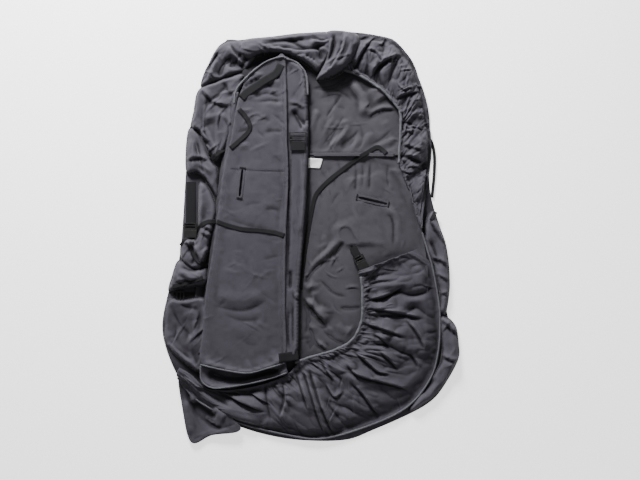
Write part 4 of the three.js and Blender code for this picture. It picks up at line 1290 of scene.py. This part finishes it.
sew("cover", [(-4, 201), (60, 203), (140, 203), (216, 201)], [seatSheet])
sew("cover", [(-4, 213), (60, 213), (140, 213), (216, 212)], [backSheet])
sewFrame("cover", frameOf(160, 88, 92, 22, -13), [seatSheet])
sewFrame("cover", frameOf(160, 88, 100, 30, -13), [seatSheet])
sew("cover", beside(skirtLowerInner[:9], 6), [lowerSkirt])
sew("cover", beside(skirtLowerInner[:9], 9), [lowerSkirt])
sew("cover", beside(skirtUpperInner[:9], 6), [upperSkirt])
sew("cover", beside(skirtUpperInner[:9], 9), [upperSkirt])
sew("cover", beside([*skirtLowerOuter], -7), [lowerSkirt])
sew("cover", beside([*skirtUpperOuter], -7), [upperSkirt])
sew("flap", [(-72, 430), (-67, 247), (-64, 143), (-71, 0), (-72, -169), (-72, -318)], [flapSheet])
sew("flap", [(-77, 430), (-72, 247), (-69, 143), (-76, 0), (-77, -169), (-77, -318)], [flapSheet])
sew("flap", [(-204, 171), (-140, 166), (-70, 164)], [flapSheet])
sew("flap", [(-205, 164), (-140, 159), (-70, 157)], [flapSheet])
sewFrame("flap", frameOf(-178, 132, 86, 20, 84), [flapSheet])
sew("flap", [(-268, -320), (-210, -334), (-158, -341), (-110, -329), (-76, -316)], [flapSheet])
sew("flap", [(-266, -300), (-264, -247), (-257, -143), (-244, -65), (-231, 26), (-213, 169), (-195, 247),
    (-183, 320)], [flapSheet])
sew("flap", [(-20, 212), (-25, 91), (-32, -13), (-41, -143), (-43, -280)], [boxingSheet])
sew("flap", [(-50, 215), (-50, 60), (-54, -39), (-56, -143)], [boxingSheet])
stitchPiece("coverStitching", "cover")
stitchPiece("flapStitching", "flap")
print("cover: seams stitched")


# the cloth that joins the flap to the cover along its fold
foldPoint, foldAxis = spot(-211, 320, 0.0255), Vector((-0.119145, -0.992877, 0)).normalized()
foldOut = Vector((foldAxis.y, -foldAxis.x,
    0)).normalized()   # from the fold towards the outside of the cover
if foldOut.x > 0:
    foldOut = -foldOut
gusset = {"from": -0.05, "to": 0.63, "rows": 90, "section": [(0.003, 0.0085), (0.000, 0.0100),
    (-0.004, 0.0128), (-0.006, 0.0160),
          (-0.008, 0.0176), (-0.013, 0.0178), (-0.020, 0.0178)]}
gussetPoints, gussetFaces, gussetFlat = [], [], []
profile = smooth(np.array(gusset["section"]), 0.0022)
for i, reach in enumerate(np.linspace(gusset["from"], gusset["to"], gusset["rows"])):
    base = foldPoint + foldAxis * reach
    for k, (out, z) in enumerate(profile):
        wave = 0.0012 * math.sin(reach * 190 + k) * math.sin(k / len(profile) * math.pi)
        point = base + foldOut * (out + wave)
        gussetPoints.append((point.x, point.y, z + wave * 0.5))
        gussetFlat.append((reach, k * 0.0022))
        if i and k:
            v = i * len(profile) + k
            gussetFaces.append((v, v - 1, v - len(profile) - 1, v - len(profile)))
foldGusset = newObject("foldGusset", gussetPoints, gussetFaces)
keepFlat(foldGusset, gussetFlat)
finishCloth(foldGusset, 1.2, subdivide=0)
dress(foldGusset, canvasMaterial, None, crest=False)
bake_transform(foldGusset)
print("cover: fold joined")


# tapes and ties
def tiePiece(name, points, sheets, body, nodes, width=12.0, thickness=1.2, twist=0.12,
    material=None, lift0=1.1):
    line = follow(points, sheets, 4.0, lift0, soften=8)
    obj = tapeMesh(name, line, width * mm, thickness * mm, twist=twist, seed=len(name))
    dress(obj, material or tapeMaterial, body, nodes, crest=False)
    return obj, line


crossTape, _ = tiePiece("crossSeamTape", [(8, 207), (60, 207), (140, 207), (216, 206)],
    [seatSheet, backSheet], "cover",
                        ["cross_seam_tape"], width=9, thickness=1.0, twist=0.0,
                        material=innerMaterial,
                        lift0=0.6)
tieSeat, tieSeatLine = tiePiece("tieSeat", [
    (195, 209), (183, 221), (170, 226), (144, 211), (118, 195), (76, 164), (50, 143), (24, 117), (9, 91),
    (-6, 13),
    (-19, -65), (-27, -140)], [seatSheet, backSheet, crossTape], "cover", ["tie_seat"])
tieLong, tieLongLine = tiePiece("tieLong", [(-332, -29), (-314, -8), (-288, 16), (-267, 31), (-242, 34)],
    sheetsOnCover,
                                "cover", ["tie_long"])
tieLongFlap, tieLongFlapLine = tiePiece("tieLongFlap", [
    (-240, 33), (-205, 21), (-171, 13), (-127, 10), (-93, 5), (-67, -3)], sheetsOnFlap, "flap",
    ["tie_long_flap"])
tieShort, tieShortLine = tiePiece("tieShort", [(-303, -18), (-303, -36), (-296, -54), (-284, -70),
    (-264, -83)],
                                  sheetsOnCover, "cover", ["tie_short"])
tieBack, _ = tiePiece("tieBack", [(-213, 226), (-232, 214), (-257, 192)], sheetsOnCover, "cover",
    ["tie_back"])
tieBackFlap, tieBackFlapLine = tiePiece("tieBackFlap", [
    (-184, 322), (-168, 304), (-156, 280), (-161, 262), (-184, 240), (-205, 221)], sheetsOnFlap, "flap",
    ["tie_back_flap"])
tieCrown, tieCrownLine = tiePiece("tieCrown", [(-76, 438), (-90, 414), (-127, 390), (-162, 366),
    (-178, 350)], sheetsOnFlap,
                                  "flap", ["tie_crown"], width=20.0)

tiePiece("edgeLoop", [(301, 254), (313, 240), (320, 205), (319, 156), (313, 96)], [shell], "cover",
                       ["edge_loop"], width=8, lift0=1.6)
tiePiece("edgeTape", [(308, 36), (321, 59)], sheetsOnCover, "cover", ["edge_tape"], width=10)
tiePiece("sideTape", [(-352, -133), (-312, -122), (-274, -110)], sheetsOnCover, "cover", ["side_tape"],
    width=12)
tiePiece("cornerTab", [(-80, -313), (-54, -310), (-31, -307)], sheetsOnFlap, "flap", ["corner_tab"],
    width=24)
print("cover: ties and tapes laid")


# webbing, sliders and buckles
def edged(node, name, body, material, bevel, turn=0.0):
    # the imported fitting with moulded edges, or webbing with rounded selvedges
    obj = bpy.data.objects[node].copy()
    obj.data = obj.data.copy()
    obj.name = name
    obj.data.name = name
    scene.collection.objects.link(obj)
    form = bmesh.new()
    form.from_mesh(obj.data)
    bmesh.ops.remove_doubles(form, verts=form.verts, dist=1e-6)
    bmesh.ops.dissolve_limit(form, angle_limit=0.02, verts=form.verts, edges=form.edges)
    form.to_mesh(obj.data)
    form.free()
    modifier = obj.modifiers.new("edge", "BEVEL")
    modifier.width = bevel * mm
    modifier.segments = 3
    modifier.limit_method = "ANGLE"
    modifier.angle_limit = math.radians(35)
    applyModifiers(obj)
    for face in obj.data.polygons:
        face.use_smooth = False
    p = positions(obj)
    c, s = math.cos(math.radians(turn)), math.sin(math.radians(turn))
    while obj.data.uv_layers:
        obj.data.uv_layers.remove(obj.data.uv_layers[0])
    keepFlat(obj, np.column_stack([p[:, 0] * c + p[:, 1] * s, p[:, 1] * c - p[:, 0] * s]))
    return dress(obj, material, body, [node], crest=False)


# each packed fitting: node, name, body, whether it is webbing, edge radius in mm, weave direction in
# degrees
fittings = [
    ("hem_buckle_socket", "hemBuckleSocket", "cover", False, 0.7, 0),
    ("hem_buckle_plug", "hemBucklePlug", "hem_plug", False, 0.6, 0),
    ("side_buckle_socket", "sideBuckleSocket", "cover", False, 0.7, 0),
    ("side_buckle_plug", "sideBucklePlug", "side_plug", False, 0.6, 0),
    ("strap_slider", "strapSlider", "strap_slider", False, 0.8, 0),
    ("side_slider", "sideSlider", "side_slider", False, 0.8, 0),
    ("hem_plug_webbing", "hemPlugWebbing", "hem_plug", True, 0.4, 118),
    ("side_plug_webbing", "sidePlugWebbing", "side_plug", True, 0.4, 0),
    ("strap_slider_webbing", "strapSliderWebbing", "flap", True, 0.4, 0),
    ("side_slider_webbing", "sideSliderWebbing", "cover", True, 0.4, 90)]
for node, name, body, isWebbing, bevel, turn in fittings:
    if isWebbing:
        edged(node, name, body, tapeMaterial, bevel, turn)
    else:
        edged(node, name, body, plasticMaterial, bevel, turn)

# care label, blank
labelCorners = np.array([(-9, 173), (24, 172), (31, 196), (-8, 199)], float)
labelRows = 9
labelPoints, labelFaces, labelFlat = [], [], []
for i in range(labelRows):
    for j in range(labelRows):
        u, v = i / (labelRows - 1), j / (labelRows - 1)
        low = labelCorners[0] * (1 - u) + labelCorners[1] * u
        high = labelCorners[3] * (1 - u) + labelCorners[2] * u
        labelPoints.append(low * (1 - v) + high * v)
        labelFlat.append((u * 0.036, v * 0.025))
        if i and j:
            k = i * labelRows + j
            labelFaces.append((k, k - 1, k - labelRows - 1, k - labelRows))
labelXyz = onto(np.column_stack([spots(labelPoints), np.zeros(len(labelPoints))]), [seatSheet, backSheet],
    1.2 * mm)
top = np.percentile(labelXyz[:, 2], 60)
labelXyz[:, 2] = np.clip(labelXyz[:, 2], top - 0.6 * mm, top + 2 * mm)
label = newObject("careLabel", labelXyz, labelFaces)
keepFlat(label, labelFlat)
finishCloth(label, 0.6, grain=0.2)
dress(label, labelMaterial, "cover", ["care_label"], crest=False)

# the size and area of cloth each sheet was cut to, worked out and not kept
def cutSize(obj):
    layer = obj.data.uv_layers["weave"]
    uv = np.empty(len(obj.data.loops) * 2)
    layer.data.foreach_get("uv", uv)
    uv = uv.reshape(-1, 2)
    return uv.max(0) - uv.min(0)


def patternArea(obj):
    # the area of the flat pattern, of which the finished piece has an upper and a lower face
    layer = obj.data.uv_layers["weave"].data
    total = 0.0
    for face in obj.data.polygons:
        corners = [layer[i].uv for i in face.loop_indices]
        twice = 0.0
        for a, b in zip(corners, corners[1:] + corners[:1]):
            twice += a[0] * b[1] - a[1] * b[0]
        total += abs(twice) / 2
    return total / 2


# cloth taken up by creases and gathers, as a share of the flat pattern
foldTakeUp = {"laid": 1.04, "folded": 1.04, "gathered": 1.04, "stretched": 1.0}
# a tuck stands in steep double folds, so it holds far more cloth than its outline
pieceTakeUp = {"crownTuck": 1.8}


def declareSheet(obj, held):
    takeUp = pieceTakeUp.get(obj.name, foldTakeUp[held])
    width, length = (round(float(side), 3) for side in cutSize(obj) * math.sqrt(takeUp))
    # a cut is never larger than the rectangle it comes out of
    area = min(patternArea(obj) * takeUp, width * length)


declareSheet(shell, "laid")
declareSheet(tail, "folded")
declareSheet(seatSheet, "laid")
declareSheet(backSheet, "laid")
declareSheet(upperSkirt, "gathered")
declareSheet(lowerSkirt, "gathered")
for obj in foldObjects.values():
    declareSheet(obj, "folded")
declareSheet(foldedPly, "folded")
declareSheet(flapUnder, "laid")
declareSheet(flapSheet, "laid")
declareSheet(boxingSheet, "folded")
declareSheet(foldGusset, "stretched")

# floor, light and camera
floorMesh = boxMesh("studioFloor", (-9, -9, -0.02), (9, 9, -0.0002), 0)
floorShader = Shader("studioPaper")
floorPlace = floorShader.node("ShaderNodeTexCoord", {}, {}, output=3)
floorShader.set(Base_Color=floorShader.colours(floorShader.noise(floorPlace, 3.0), (0.9, 0.9, 0.9),
    (0.93, 0.93, 0.93)),
                Roughness=0.9, Emission_Color=(1, 1, 1, 1), Emission_Strength=1.3)
floorMesh.data.materials.append(floorShader.material)

world = bpy.data.worlds.new("softStudio")
scene.world = world
world.use_nodes = True
world.node_tree.nodes["Background"].inputs[0].default_value = (1, 1, 1, 1)
world.node_tree.nodes["Background"].inputs[1].default_value = 0.27


def softLight(name, place, aim, size, power):
    data = bpy.data.lights.new(name, "AREA")
    data.shape = "RECTANGLE"
    data.size, data.size_y = size
    data.energy = power
    obj = bpy.data.objects.new(name, data)
    obj.location = place
    obj.rotation_euler = (Vector(aim) - Vector(place)).to_track_quat("-Z", "Y").to_euler()
    scene.collection.objects.link(obj)
    return obj


softLight("keyLight", (-0.75, 2.4, 1.25), (0.0, 0.0, 0.0), (0.8, 0.6), 262)
softLight("fillLight", (1.2, -1.6, 2.4), (0.0, 0.0, 0.0), (1.8, 1.8), 13)

camera = bpy.data.cameras.new("viewCamera")
camera.lens = 48.0
camera.sensor_width = 36
cameraObject = bpy.data.objects.new("viewCamera", camera)
target = spot(24, -13, 0.0)
elevation = math.radians(87.5)
cameraObject.location = target + 2.2 * Vector((0, -math.cos(elevation), math.sin(elevation)))
cameraObject.rotation_euler = (target - cameraObject.location).to_track_quat("-Z", "Y").to_euler()
scene.collection.objects.link(cameraObject)
scene.camera = cameraObject
